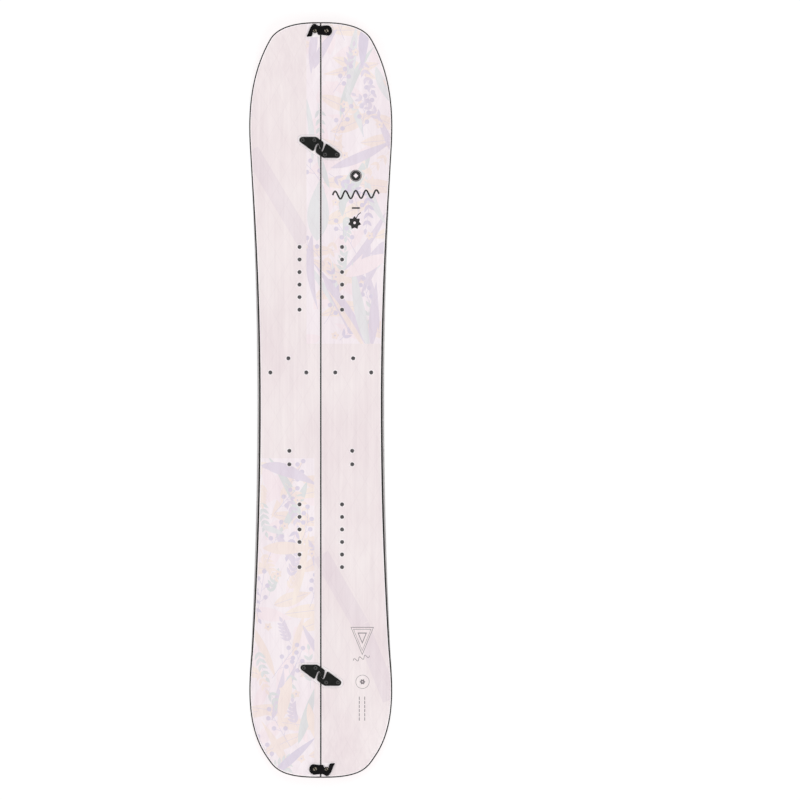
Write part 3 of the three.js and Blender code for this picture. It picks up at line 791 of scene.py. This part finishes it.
def wave(x, y, length, height, turns, width, angle=0.0, steps=64):
    """A plain wavy line."""
    turn = 2 * math.pi * turns / steps
    points = [(length * k / steps, height * math.sin(turn * k)) for k in range(steps + 1)]
    return stroke(turned_points(points, x, y, angle), width)


def disc_mark(x, y, radius, colour, ground):
    """A filled disc with a thin ring inside its rim and a plain diamond."""
    rings = [(circle(x, y, radius * share, 64), ink) for share, ink in
             ((1, colour), (0.90, ground), (0.86, colour))]
    return rings + [(circle(x, y, radius * 0.42, 4), ground)]


def triangle_mark(x, y, width, height):
    """Plain triangles inside each other, in turn of ink and of the plain topsheet."""
    shapes = []
    for k, share in enumerate((1, 0.93, 0.78, 0.73, 0.4, 0.3)):
        colour = TOP_PLAIN if k % 2 else SLATE
        w, h = width * share / 2, height * share
        top = y + height * (share - 1) * 0.33
        shapes.append(([Vector((x - w, top)), Vector((x, top - h)), Vector((x + w, top))], colour))
    return shapes


def top_marks():
    """Plain stand-ins for the marks on the topsheet: discs, waves, flowers, a triangle and bars."""
    shapes = disc_mark(71, 454.5, 12, INK, PATCH)
    shapes.append((wave(24, 415, 94, 8, 4.5, 3.4, 0.03), INK))
    shapes.append((stroke([Vector((63, 389)), Vector((79, 389))], 3.2), INK))
    shapes += flower(68.5, 359, 13.5, 7, INK, PATCH, math.pi / 2)
    shapes.append((stroke([Vector((71, 366)), Vector((75, 375)), Vector((81, 380))], 1.6), INK))
    shapes += triangle_mark(84, -460, 47, 57)
    shapes.append((wave(66, -528, 34, 3.5, 3, 1.1, 0.3), SLATE))
    shapes += [(circle(84.5, -571, 14, 48), SLATE), (circle(84.5, -571, 13.2, 48), TOP_PLAIN)]
    shapes += flower(84.5, -571, 6, 6, SLATE, TOP_PLAIN)
    for column in (78, 89):
        for k in range(6):
            y = -601 - 8.4 * k
            shapes.append((stroke([Vector((column, y)), Vector((column, y - 6.4))], 1.6), SLATE))
    return shapes


def print_shapes():
    shapes = bands()
    patches = (
        (UPPER_PATCH, 7, 22, (LAVENDER, MINT, SAGE, LAVENDER)),
        (LOWER_PATCH, 11, 20, (PEACH, CREAM, SAGE, LAVENDER)),
    )
    for box, seed, count, blades in patches:
        shapes.append((as_polygon(box), PATCH))
        shapes += only_in(garden(box, seed, count, blades) + sweeps(), box)
    return shapes + top_marks()


def base_marks():
    """Plain stand-ins for the marks on the base: a disc near the nose and a wave near the tail."""
    white = (238, 238, 238)
    shapes = disc_mark(-84.3, 563, 30.8, white, BASE_BLACK)
    shapes.append((wave(65, -608, 206, 30, 3.5, 6, math.pi / 2, 110), white))
    return shapes


def shapes_for(side, shapes):
    """The shapes that reach into one half of the board."""
    sign = side_sign(side)
    return [(p, colour) for p, colour in shapes if max(sign * q.x for q in p) > 0]


# ---- Outlines of the hooks and levers ----------------------------------------------------------

def arc(x, y, radius, start, end, steps):
    """Points of a circle between two angles, given as multiples of pi."""
    angles = [math.pi * lerp(start, end, k / steps) for k in range(steps + 1)]
    return [Vector((x + radius * math.cos(a), y + radius * math.sin(a))) for a in angles]


def rounded(points, radius, steps=5):
    """A closed outline with its corners rounded off."""
    result = []
    for before, corner, after in zip([points[-1], *points[:-1]], points, [*points[1:], points[0]]):
        back, on = before - corner, after - corner
        bend = math.pi - back.angle(on, math.pi)
        if bend < 0.2:
            result.append(corner)
            continue
        reach = min(radius, back.length * 0.45, on.length * 0.45)
        start, end = corner + back.normalized() * reach, corner + on.normalized() * reach
        for k in range(steps + 1):
            t = k / steps
            result.append((1 - t) ** 2 * start + 2 * t * (1 - t) * corner + t * t * end)
    return result


def hook_outline():
    """The left plate of a pair, about the pair's middle. Its finger reaches over the seam."""
    run = math.tan(WEDGE)
    flank = [(WEDGE_SLIT / math.cos(WEDGE) - y * run, y) for y in (-6, 5.2)]
    shoulder = [(-8.6, 21.3), (-6.1, 20.4), (-0.6, 16.6), (4.7, 13), (7.2, 10.6), (8.1, 8.2)]
    finger = [(6.6, 0.6), (5.2, -4), (4.2, -6), *flank]
    notch = [(-2.5, 7.0), (-4.2, 7.9), (-6.7, 6.9), (-8.3, 3.8), (-9.8, -1), (-12, -6.2)]
    foot = [(-13.2, -7.3), (-16.2, -6.3)]
    outer_end = arc(-35.1, 15.2, 6.1, 1.3, 0.5, 14)
    return rounded([Vector(p) for p in [*outer_end, *shoulder, *finger, *notch, *foot]], 1.0)


def lever_outline():
    """The nose lever about the seam, with +Y to the tip. Its slot opens away from the tip."""
    hump = [(-18.3, 9.9), (-16, 12.7), (-13.4, 13.9), (-10.4, 13.4)]
    back = [(-7, 10.8), (-3.8, 9.7), (-0.2, 9.4), (4.3, 9.8)]
    head = arc(CLIP_X + 0.5, -0.2, 11.0, 0.5, -0.38, 24)
    front = [(11.1, -9.8), (6, -8.9), (2, -8.6), (-4.6, -9.0), (-5.5, -7.6), (-6.3, -5.6)]
    slot = arc(-CLIP_X - 0.2, 0, SLOT_HALF_WIDTH, 0, 1, 16)
    thumb = [(-16.3, -5.4), (-16.8, -8.4), (-18.7, -11.6), (-28.8, -12.6), (-26, -7.2), (-23.5, 0)]
    thumb_root = [(-21, 5.9)]
    points = [*hump, *back, *head, *front, *slot, *thumb, *thumb_root]
    return rounded([Vector(p) for p in points], 1.2)


def hull_around(points, margin):
    """A rounded outline that stays this far outside all the points."""
    swollen = [p + q for p in points for q in circle(0, 0, margin, 24)]
    return [swollen[i] for i in geometry.convex_hull_2d(swollen)]


def flat_plate(edge, holes, low, high):
    """A flat plate with holes."""
    flat, cells = triangles_in([edge, *holes])
    return thick(flat, [cell for cell, within in cells if within == {0}], lambda _: low, lambda _: high)


def soften(piece, width, segments=3):
    """Rounds a piece's sharp edges off."""
    bevel = piece.modifiers.new("edges", "BEVEL")
    bevel.width = width * MM
    bevel.segments = segments
    bevel.limit_method = "ANGLE"
    bevel.angle_limit = math.radians(40)
    bevel.harden_normals = False
    return piece


# ---- The two half boards -----------------------------------------------------------------------

def tip_sign(end):
    return 1 if end == "nose" else -1


def clip_centre_y(end):
    return tip_sign(end) * (TIP_Y - CLIP_FROM_TIP)


def insert_places():
    """Each insert node of one half with the places of its barrels."""
    rows = {}
    for row, middle in PUCK_ROWS.items():
        rows[f"{row}_puck_inserts"] = [(PUCK_X, middle + (k - 2.5) * PUCK_PITCH) for k in range(6)]
    for k, place in enumerate(TOURING_INSERTS):
        rows[f"touring_insert_{k + 1}"] = [place]
    for k, place in enumerate(HEEL_INSERTS):
        rows[f"heel_insert_{k + 1}"] = [place]
    return rows


def hook_screw_places(side):
    sign = side_sign(side)
    return {
        f"{end}_hook_screw_{side}_{k + 1}": (x - sign * dx, y - sign * dy)
        for end, (x, y) in HOOK_PAIRS.items()
        for k, (dx, dy) in enumerate(HOOK_SCREWS)
    }


def bolt_holes(side, radius, height):
    """Holes for the clip bolts, which lean with the kicked-up tips, at this height above the base."""
    lean = height * math.tan(TIP_SLOPE)
    return [circle(side_sign(side) * CLIP_X, clip_centre_y(end) - tip_sign(end) * lean, radius)
            for end in TIP_CURVES]


def insert_holes(side):
    """Holes for the inserts and the hook screws."""
    places = [(side_sign(side) * x, y) for row in insert_places().values() for x, y in row]
    screws = hook_screw_places(side).values()
    return ([circle(*place, INSERT_RADIUS + HOLE_FIT) for place in places]
            + [circle(*place, SCREW_SHANK + FIT, 24) for place in screws])


def half_piece(name, side, part, slot, material=None):
    """A piece of one half board, from its shape on the right half."""
    verts, faces = part
    mesh = mesh_from(f"{name}_{side}", on_side(verts, side), faces)
    return add_piece(f"{name}_fine_{side}", mesh, f"{side}_half", slot, f"{name}_{side}", material)


def sheet_piece(name, side, layer, slot, edge, holes=(), shapes=(), plain=None):
    """A sheet of one layer, from its edge on the right half. Its holes and shapes are in place."""
    levels = LEVELS[f"{layer}_bottom"], LEVELS[f"{layer}_top"]
    (verts, faces), colours = slab(on_side(edge, side), list(holes), list(shapes), *levels)
    mesh = mesh_from(f"{name}_{side}", verts, faces)
    if plain:
        add_colours(mesh, colours, plain)
    add_piece(f"{name}_fine_{side}", mesh, f"{side}_half", slot, f"{name}_{side}")


def with_seam_line(outer, inner_x):
    return outer + [Vector((inner_x, outer[-1].y)), Vector((inner_x, outer[0].y))]


def layer_edge(inset, inner_x):
    """The edge of a full layer: one rail and a straight line beside the seam."""
    return with_seam_line(rail(inset), inner_x)


def rim_piece(name, side, section, slot):
    """A strip that follows the whole outline. section is a list of (inset, level) pairs."""
    rails = [(rail(inset), level) for inset, level in section]
    rings = [[(points[i].x, points[i].y, level(points[i].y)) for points, level in rails]
             for i in range(len(OUTLINE))]
    first, last = [[(SEAM, y, z) for _, y, z in ring] for ring in (rings[0], rings[-1])]
    half_piece(name, side, swept([first, *rings, last]), slot)


def strip_piece(name, side, section, reach, slot, material=None):
    """A strip along the seam. section is a list of (x, level) pairs."""
    lines = [-reach, *[y for y in rib_lines() if abs(y) < reach - 1], reach]
    strip = swept([[(x, y, level(y)) for x, level in section] for y in lines])
    half_piece(name, side, strip, slot, material)


def above(level, by):
    return lambda y: LEVELS[level](y) + by


def sidewall_inset(y):
    """How far in from the outline the outer sidewall's inner face is."""
    return topsheet_inset(y) + SIDEWALL_WIDTH


def inlay_depth(y):
    return lerp(INLAY_THIN, INLAY_DEEP, smooth(abs(y), INLAY_THIN_Y, INLAY_DEEP_Y))


ROUND_END_STEPS = 8
BASE_INSET = STEEL_WIDTH + GLUE


def inlay_lines(end):
    """The outer and inner lines of one inlay, from its round end to the tip."""
    sign = tip_sign(end)
    radius = (INLAY_THIN - BASE_INSET) / 2
    points = [(p, inward) for p, inward in OUTLINE if sign * p.y > INLAY_END[end] + radius]
    if end == "tail":
        points.reverse()
    start, inward = points[0]
    along = -sign * Vector((inward.y, -inward.x))
    middle = start + inward * (BASE_INSET + radius)
    outer, inner = [], []
    for k in range(ROUND_END_STEPS):
        angle = math.pi / 2 * k / ROUND_END_STEPS
        ahead, aside = along * radius * math.cos(angle), inward * radius * math.sin(angle)
        outer.append(middle + ahead - aside)
        inner.append(middle + ahead + aside)
    for point, inward in points:
        outer.append(point + inward * BASE_INSET)
        inner.append(point + inward * inlay_depth(point.y))
    return outer, inner


def inlay_edge(end):
    outer, inner = inlay_lines(end)
    return outer + [Vector((SEAM, outer[-1].y)), Vector((SEAM, inner[-1].y))] + inner[:0:-1]


def base_edge():
    """The base sheet's edge: inside the steel edge, round the inlays' ends and inside the inlays."""
    (nose_outer, nose_inner), (tail_outer, tail_inner) = inlay_lines("nose"), inlay_lines("tail")
    low, high = tail_outer[ROUND_END_STEPS].y, nose_outer[ROUND_END_STEPS].y
    middle = [p for p in rail(BASE_INSET) if low + 1 < p.y < high - 1]
    round_nose, round_tail = nose_outer[1:ROUND_END_STEPS], tail_outer[1:ROUND_END_STEPS]
    outer = tail_inner[::-1] + round_tail + middle + round_nose[::-1] + nose_inner
    return with_seam_line(outer, SEAM + INNER_STEEL_WIDTH + GLUE)


def top_borders(side):
    """A pale line round the topsheet's edge and beside the seam, and pale rings round its inserts."""
    outer = rail(topsheet_inset)
    inner = rail(lambda y: topsheet_inset(y) + BORDER_WIDTH)
    seam_x = SEAM + SEAM_BEVEL + BORDER_WIDTH / 2
    seam = as_polygon(((0, -TIP_Y), (seam_x, TIP_Y)))
    places = [(side_sign(side) * x, y) for row in insert_places().values() for x, y in row]
    rings = [circle(*place, INSERT_RADIUS + 1.4) for place in places]
    return [(shape, BORDER) for shape in (on_side(outer + inner[::-1], side), on_side(seam, side), *rings)]


def fitting_fields():
    """Plain fields in the print, with a thin outline, that the hooks and clips lie in."""
    shapes = []
    for x, y in HOOK_PAIRS.values():
        plate = hook_outline()
        both = [Vector((x, y)) + p for p in plate] + [Vector((x, y)) - p for p in plate]
        shapes += [(hull_around(both, 4.4), KEYLINE), (hull_around(both, 3.8), BORDER)]
    for end in ("nose", "tail"):
        middle = Vector((0, clip_centre_y(end) - tip_sign(end) * 1.3))
        lever = [middle + tip_sign(end) * p for p in lever_outline()]
        shapes.append((hull_around(lever, 1.6), BORDER))
    return shapes


def layers(side):
    """The flat layers of a half board, from the top down."""
    inserted = insert_holes(side)
    nut_holes = bolt_holes(side, NUT_BARREL + 0.7, 3)
    printed = shapes_for(side, print_shapes() + fitting_fields()) + top_borders(side)
    sheet_piece("topsheet", side, "topsheet", "topsheet", layer_edge(topsheet_inset, SEAM + SEAM_BEVEL),
                inserted + bolt_holes(side, 3.2, 5), printed, TOP_PLAIN)
    sheet_piece("upper_laminate", side, "upper_laminate", "laminate", layer_edge(topsheet_inset, SEAM),
                inserted + nut_holes)
    core_edge = layer_edge(lambda y: sidewall_inset(y) + FIT, SEAM + INNER_SIDEWALL_WIDTH + FIT)
    sheet_piece("core", side, "core", "core_wood", core_edge, inserted + nut_holes)
    sheet_piece("lower_laminate", side, "lower_laminate", "laminate", layer_edge(steel_showing, SEAM),
                nut_holes)
    sheet_piece("base_sheet", side, "base", "base", base_edge(),
                shapes=shapes_for(side, base_marks()), plain=BASE_BLACK)
    for end in TIP_CURVES:
        flange_hole = circle(side_sign(side) * CLIP_X, clip_centre_y(end), NUT_FLANGE + 0.5)
        sheet_piece(f"{end}_inlay", side, "base", "inlay", inlay_edge(end), [flange_hole], plain=CORAL)


def rims(side):
    """The steel edges and sidewalls of a half board, outer and beside the seam."""
    steel_section = [
        (STEEL_CORNER, above("base_bottom", 0)), (0, above("base_bottom", STEEL_CORNER)),
        (0, above("base_top", -STEEL_CHAMFER)), (STEEL_CHAMFER, above("base_top", 0)),
        (STEEL_WIDTH, above("base_top", 0)), (STEEL_WIDTH, above("base_bottom", 0)),
    ]
    rim_piece("outer_steel_edge", side, steel_section, "steel_edge")
    core_bottom, core_top = above("core_bottom", 0), above("core_top", 0)
    rim_piece("outer_sidewall", side, [
        (steel_showing, core_bottom), (topsheet_inset, core_top),
        (sidewall_inset, core_top), (sidewall_inset, core_bottom),
    ], "sidewall")
    steel_x = SEAM + INNER_STEEL_WIDTH
    seam_section = [
        (SEAM + 0.1, above("base_bottom", 0)), (SEAM, above("base_bottom", 0.1)),
        (SEAM, above("base_top", 0)), (steel_x, above("base_top", 0)), (steel_x, above("base_bottom", 0)),
    ]
    strip_piece("inner_steel_edge", side, seam_section, TIP_Y - INLAY_DEEP, "steel_edge", "inner_steel")
    wall_x = SEAM + INNER_SIDEWALL_WIDTH
    wall_section = [(SEAM, core_bottom), (SEAM, core_top), (wall_x, core_top), (wall_x, core_bottom)]
    strip_piece("inner_sidewall", side, wall_section, TIP_Y - sidewall_inset(TIP_Y) - 2 * FIT, "sidewall")


# ---- Inserts -----------------------------------------------------------------------------------

def thread(radius, top, depth, pitch=1.0):
    """The zigzag profile of an inside thread, from its mouth down."""
    points = []
    for k in range(int(depth / pitch)):
        z = top - pitch * k
        points += [(radius, z), (radius - THREAD_DEPTH, z - pitch * 0.5)]
    return points + [(radius, top - depth)]


def insert_barrel(y, flange_radius):
    """A barrel on a flange with a threaded bore that is open at the top."""
    bottom = LEVELS["core_bottom"](y) + GLUE
    top = LEVELS["topsheet_top"](y) - INSERT_RECESS
    shelf = bottom + FLANGE_THICKNESS
    bore = thread(INSERT_BORE, top - 0.4, INSERT_DEPTH - 0.4)
    return turned([
        (0, bottom), (flange_radius, bottom), (flange_radius, shelf), (INSERT_RADIUS, shelf),
        (INSERT_RADIUS, top - 0.2), (INSERT_RADIUS - 0.2, top), (INSERT_BORE + THREAD_DEPTH, top), *bore,
        (0, top - INSERT_DEPTH),
    ])


def carrier_bar(places):
    """The bar that joins a row of inserts, with round ends."""
    ys = [y for _, y in places]
    edge = arc(PUCK_X, ys[-1], INSERT_FLANGE, 0, 1, 16) + arc(PUCK_X, ys[0], INSERT_FLANGE, 1, 2, 16)
    bar, _ = slab(edge, [], [], above("core_bottom", GLUE), above("core_bottom", GLUE + FLANGE_THICKNESS))
    return bar


def inserts(side):
    for name, places in insert_places().items():
        parts = [carrier_bar(places)] if len(places) > 1 else []
        flange = INSERT_RADIUS + 0.5 if parts else INSERT_FLANGE
        for x, y in places:
            parts.append(placed(insert_barrel(y, flange), Matrix.Translation((x, y, 0))))
        half_piece(name, side, merged(parts), "insert_metal")


# ---- Hooks and their screws --------------------------------------------------------------------

def cross_recess(reach, width):
    """The outline of a cross drive."""
    w = width / 2
    arm = [(w, reach), (-w, reach), (-w, w)]
    return [point for k in range(4) for point in turned_points(arm, 0, 0, math.pi / 2 * k)]


def slot_recess(reach, width):
    w = width / 2
    return [(-reach, -w), (reach, -w), (reach, w), (-reach, w)]


def driven_head(radius, top, recess, depth, dome, turn=0.0):
    """A round head with a drive recess in its top. dome is how far its rim is lower."""
    rings = [circle(0, 0, radius * share, 48) for share in (1, 0.9, 0.75)]
    flat, cells = triangles_in([*rings, turned_points(recess, 0, 0, turn)])
    kept = [cell for cell, within in cells if 0 in within and 3 not in within]
    verts, faces = thick(flat, kept, lambda _: 0, lambda _: 1)
    return [(x, y, top - dome * (math.hypot(x, y) / radius) ** 2 if upper else top - depth)
            for x, y, upper in verts], faces


def recess_painted_shade(part, floor):
    """Painted shade: dark for the faces at the bottom of a drive recess, at height floor."""
    verts, faces = part
    flat = [all(abs(verts[i][2] - floor) < 0.01 for i in face) for face in faces]
    return [RECESS_PAINTED_SHADE if low else None for low in flat]


def screw_collar():
    """The seat of a screw in a hook, with a raised ring round it."""
    rim, shank = SCREW_HEAD + 0.45, SCREW_SHANK + 0.4
    top = HOOK_THICKNESS
    seat = top - SCREW_SUNK - SCREW_HEAD_HEIGHT
    return turned_ring([
        (shank, 0), (shank, seat), (rim - 0.1, top - SCREW_SUNK - 0.3), (rim, top),
        (rim + 0.2, top + COLLAR_HEIGHT), (rim + 1.0, top + COLLAR_HEIGHT),
        (rim + 1.3, top - 0.2), (rim + 0.03, top - 0.4), (rim + 0.03, 0),
    ])


def hook_piece(name, end, side):
    x, y = HOOK_PAIRS[end]
    bores = [circle(dx, dy, SCREW_HEAD + 0.5, 40) for dx, dy in HOOK_SCREWS]
    parts = [flat_plate(hook_outline(), bores, 0, HOOK_THICKNESS)]
    parts += [placed(screw_collar(), Matrix.Translation((dx, dy, 0))) for dx, dy in HOOK_SCREWS]
    half_turn = Matrix.Rotation(0 if side == "left" else math.pi, 4, "Z")
    place = Matrix.Translation((x, y, LEVELS["topsheet_top"](y) + FIT)) @ half_turn
    mesh = mesh_from(name, *placed(merged(parts), place), 35)
    soften(add_piece(f"{name}_fine", mesh, f"{side}_half", "hook_plastic", name), 0.45)


def hook_screw_piece(name, x, y, side):
    top = LEVELS["topsheet_top"](y) + FIT + HOOK_THICKNESS - SCREW_SUNK
    bottom = LEVELS["core_bottom"](y) + FIT
    seat = top - SCREW_HEAD_HEIGHT
    floor = top - SCREW_DRIVE_DEPTH
    body = turned([(0, bottom), (SCREW_SHANK, bottom), (SCREW_SHANK, seat), (SCREW_HEAD, floor), (0, floor)])
    head = driven_head(SCREW_HEAD, top, cross_recess(1.9, 1.1), SCREW_DRIVE_DEPTH, 0.25, 0.6)
    screw = merged([body, head])
    mesh = mesh_from(name, *placed(screw, Matrix.Translation((x, y, 0))))
    # painted shade on the floor of the cross recess
    add_colours(mesh, recess_painted_shade(screw, floor), WHITE)
    add_piece(f"{name}_fine", mesh, f"{side}_half", "hook_screw_metal", name)


# ---- Tip clips ---------------------------------------------------------------------------------

TIP_THICKNESS = (LEVELS["topsheet_top"](TIP_Y) - LEVELS["base_bottom"](TIP_Y)) * math.cos(TIP_SLOPE)


def tip_frame(end):
    """Where a clip is: about the seam, square to the kicked-up tip."""
    half_turn = Matrix.Rotation(0 if end == "nose" else math.pi, 4, "Z")
    place = Matrix.Translation((0, TIP_Y - CLIP_FROM_TIP, base_z(clip_centre_y(end))))
    return half_turn @ place @ Matrix.Rotation(TIP_SLOPE, 4, "X")


def clip_piece(name, part, end, body, slot, sharp=30, floor=None):
    """A piece of a clip. floor is the height of its drive recess's bottom, if it has one, which gets painted
    shade.
    """
    mesh = mesh_from(name, *placed(part, tip_frame(end)), sharp)
    if floor is not None:
        add_colours(mesh, recess_painted_shade(part, floor), WHITE)
    return add_piece(f"{name}_fine", mesh, body, slot, name)


def bolt(x, head_bottom, head_radius, head_top):
    foot = NUT_RECESS + NUT_FLANGE_HEIGHT + FIT
    floor = head_top - BOLT_SLOT_DEPTH
    body = turned([
        (0, foot), (BOLT_SHANK, foot), (BOLT_SHANK, head_bottom), (head_radius, head_bottom),
        (head_radius, floor), (0, floor),
    ])
    slot = slot_recess(head_radius * 1.2, 2.0)
    head = driven_head(head_radius, head_top, slot, BOLT_SLOT_DEPTH, 0.8, 2.1)
    return placed(merged([body, head]), Matrix.Translation((x, 0, 0)))


NUT_SLOT_FLOOR = NUT_RECESS + NUT_FLANGE_HEIGHT - 0.2


def nut(x):
    """A flanged nut in the base, with a slot across its face."""
    flange_top = NUT_RECESS + NUT_FLANGE_HEIGHT
    barrel = turned([
        (0, NUT_SLOT_FLOOR), (NUT_FLANGE, NUT_SLOT_FLOOR), (NUT_FLANGE, flange_top), (NUT_BARREL, flange_top),
        (NUT_BARREL, NUT_TOP), (BOLT_SHANK + FIT, NUT_TOP), (BOLT_SHANK + FIT, flange_top), (0, flange_top),
    ])
    face = driven_head(NUT_FLANGE, NUT_FLANGE_HEIGHT - 0.2, slot_recess(NUT_FLANGE * 1.2, 1.1), 0.9, 0.3, 0.8)
    flip = Matrix.Translation((0, 0, NUT_SLOT_FLOOR)) @ Matrix.Rotation(math.pi, 4, "X")
    return placed(merged([barrel, placed(face, flip)]), Matrix.Translation((x, 0, 0)))


def stud_washer(end, body):
    """A thin dark washer under the stud that shows through the lever's slot."""
    low = TIP_THICKNESS + 0.02
    high = low + 0.3
    ring = turned_ring([(BOLT_SHANK, low), (BOLT_SHANK, high), (5.5, high), (5.7, high - 0.15), (5.7, low)])
    place = tip_frame(end) @ Matrix.Translation((-CLIP_X, 0, 0))
    mesh = mesh_from(f"{end}_stud_washer", *placed(ring, place))
    mesh.materials.append(MATERIALS["clip_lever_plastic"])
    washer = new_object(f"{end}_stud_washer", mesh)
    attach(washer, body)


def clip(end):
    pivot_body, stud_body = ("right_half", "left_half") if end == "nose" else ("left_half", "right_half")
    low = TIP_THICKNESS + LEVER_LIFT
    high = low + LEVER_THICKNESS
    bore = BOLT_SHANK + 0.4
    boss_top = high + 0.25
    boss = turned_ring([(bore, low), (bore, boss_top), (5.4, boss_top), (5.9, high - 0.3), (5.9, low + 1)])
    plate = flat_plate(lever_outline(), [circle(CLIP_X, 0, 2.9, 40)], low, high)
    lever = merged([plate, placed(boss, Matrix.Translation((CLIP_X, 0, 0)))])
    soften(clip_piece(f"{end}_clip_lever", lever, end, f"{end}_clip", "clip_lever_plastic", 35), 0.6)
    head_bottom = high + FIT
    pivot_top, stud_top = head_bottom + PIVOT_HEAD_HEIGHT, head_bottom + STUD_HEIGHT
    driven = {
        "clip_pivot_bolt": (bolt(CLIP_X, head_bottom, BOLT_HEAD, pivot_top), pivot_body, "clip_bolt_metal",
                            pivot_top - BOLT_SLOT_DEPTH),
        "clip_stud": (bolt(-CLIP_X, TIP_THICKNESS + FIT, STUD_RADIUS, stud_top), stud_body,
                      "clip_bolt_metal", stud_top - BOLT_SLOT_DEPTH),
        "pivot_nut": (nut(CLIP_X), pivot_body, "nut_metal", NUT_SLOT_FLOOR),
        "stud_nut": (nut(-CLIP_X), stud_body, "nut_metal", NUT_SLOT_FLOOR),
    }
    # the faces at each floor height get painted shade
    for name, (part, body, slot, floor) in driven.items():
        clip_piece(f"{end}_{name}", part, end, body, slot, floor=floor)
    stud_washer(end, stud_body)


# ---- Build -------------------------------------------------------------------------------------

for half_side in ("left", "right"):
    layers(half_side)
    rims(half_side)
    inserts(half_side)
    for pair in HOOK_PAIRS:
        hook_piece(f"{pair}_hook_{half_side}", pair, half_side)
    for screw, (screw_x, screw_y) in hook_screw_places(half_side).items():
        hook_screw_piece(screw, screw_x, screw_y, half_side)
for board_end in ("nose", "tail"):
    clip(board_end)


# ---- Floor, light and camera -------------------------------------------------------------------

def studio():
    """A glowing floor, three broad soft lights and a pale world."""
    table = Nodes("light_table", Roughness=0.9, Specular_IOR_Level=0.05, Emission_Strength=FLOOR_GLOW)
    table.shader.inputs["Emission Color"].default_value = (1, 1, 1, 1)
    paper = table.ramp(table.noise(300, detail=3), [(0.3, (0.24, 0.24, 0.24)), (0.7, (0.26, 0.26, 0.26))])
    table.tree.links.new(paper, table.shader.inputs["Base Color"])
    mesh = bpy.data.meshes.new("floor")
    corners = [(x * FLOOR_REACH, y * FLOOR_REACH, 0) for x, y in ((-1, -1), (1, -1), (1, 1), (-1, 1))]
    mesh.from_pydata(corners, [], [(0, 1, 2, 3)])
    mesh.materials.append(table.material)
    floor = new_object("floor", mesh)
    floor.location.z = -FLOOR_DROP
    for azimuth, elevation, strength in SOFTBOXES:
        light = bpy.data.lights.new(f"softbox_{azimuth}", "SUN")
        light.energy = strength
        light.angle = SOFTBOX_SPREAD
        lamp = new_object(light.name, light)
        lamp.rotation_euler = (math.radians(90 - elevation), 0, math.radians(azimuth))
    world = bpy.data.worlds.new("studio")
    world.use_nodes = True
    background = world.node_tree.nodes["Background"]
    background.inputs["Color"].default_value = (1, 1, 1, 1)
    background.inputs["Strength"].default_value = AMBIENT
    bpy.context.scene.world = world
    bpy.context.scene.view_settings.view_transform = "Standard"


def camera():
    """Straight down over the board, with the nose up."""
    data = bpy.data.cameras.new("camera")
    data.lens = LENS
    data.sensor_width = SENSOR_WIDTH
    data.clip_end = 100
    lens = new_object("camera", data)
    lens.location = (FRAME_CENTRE_X, 0, FRAME_WIDTH * LENS / SENSOR_WIDTH)
    bpy.context.scene.camera = lens


studio()
camera()
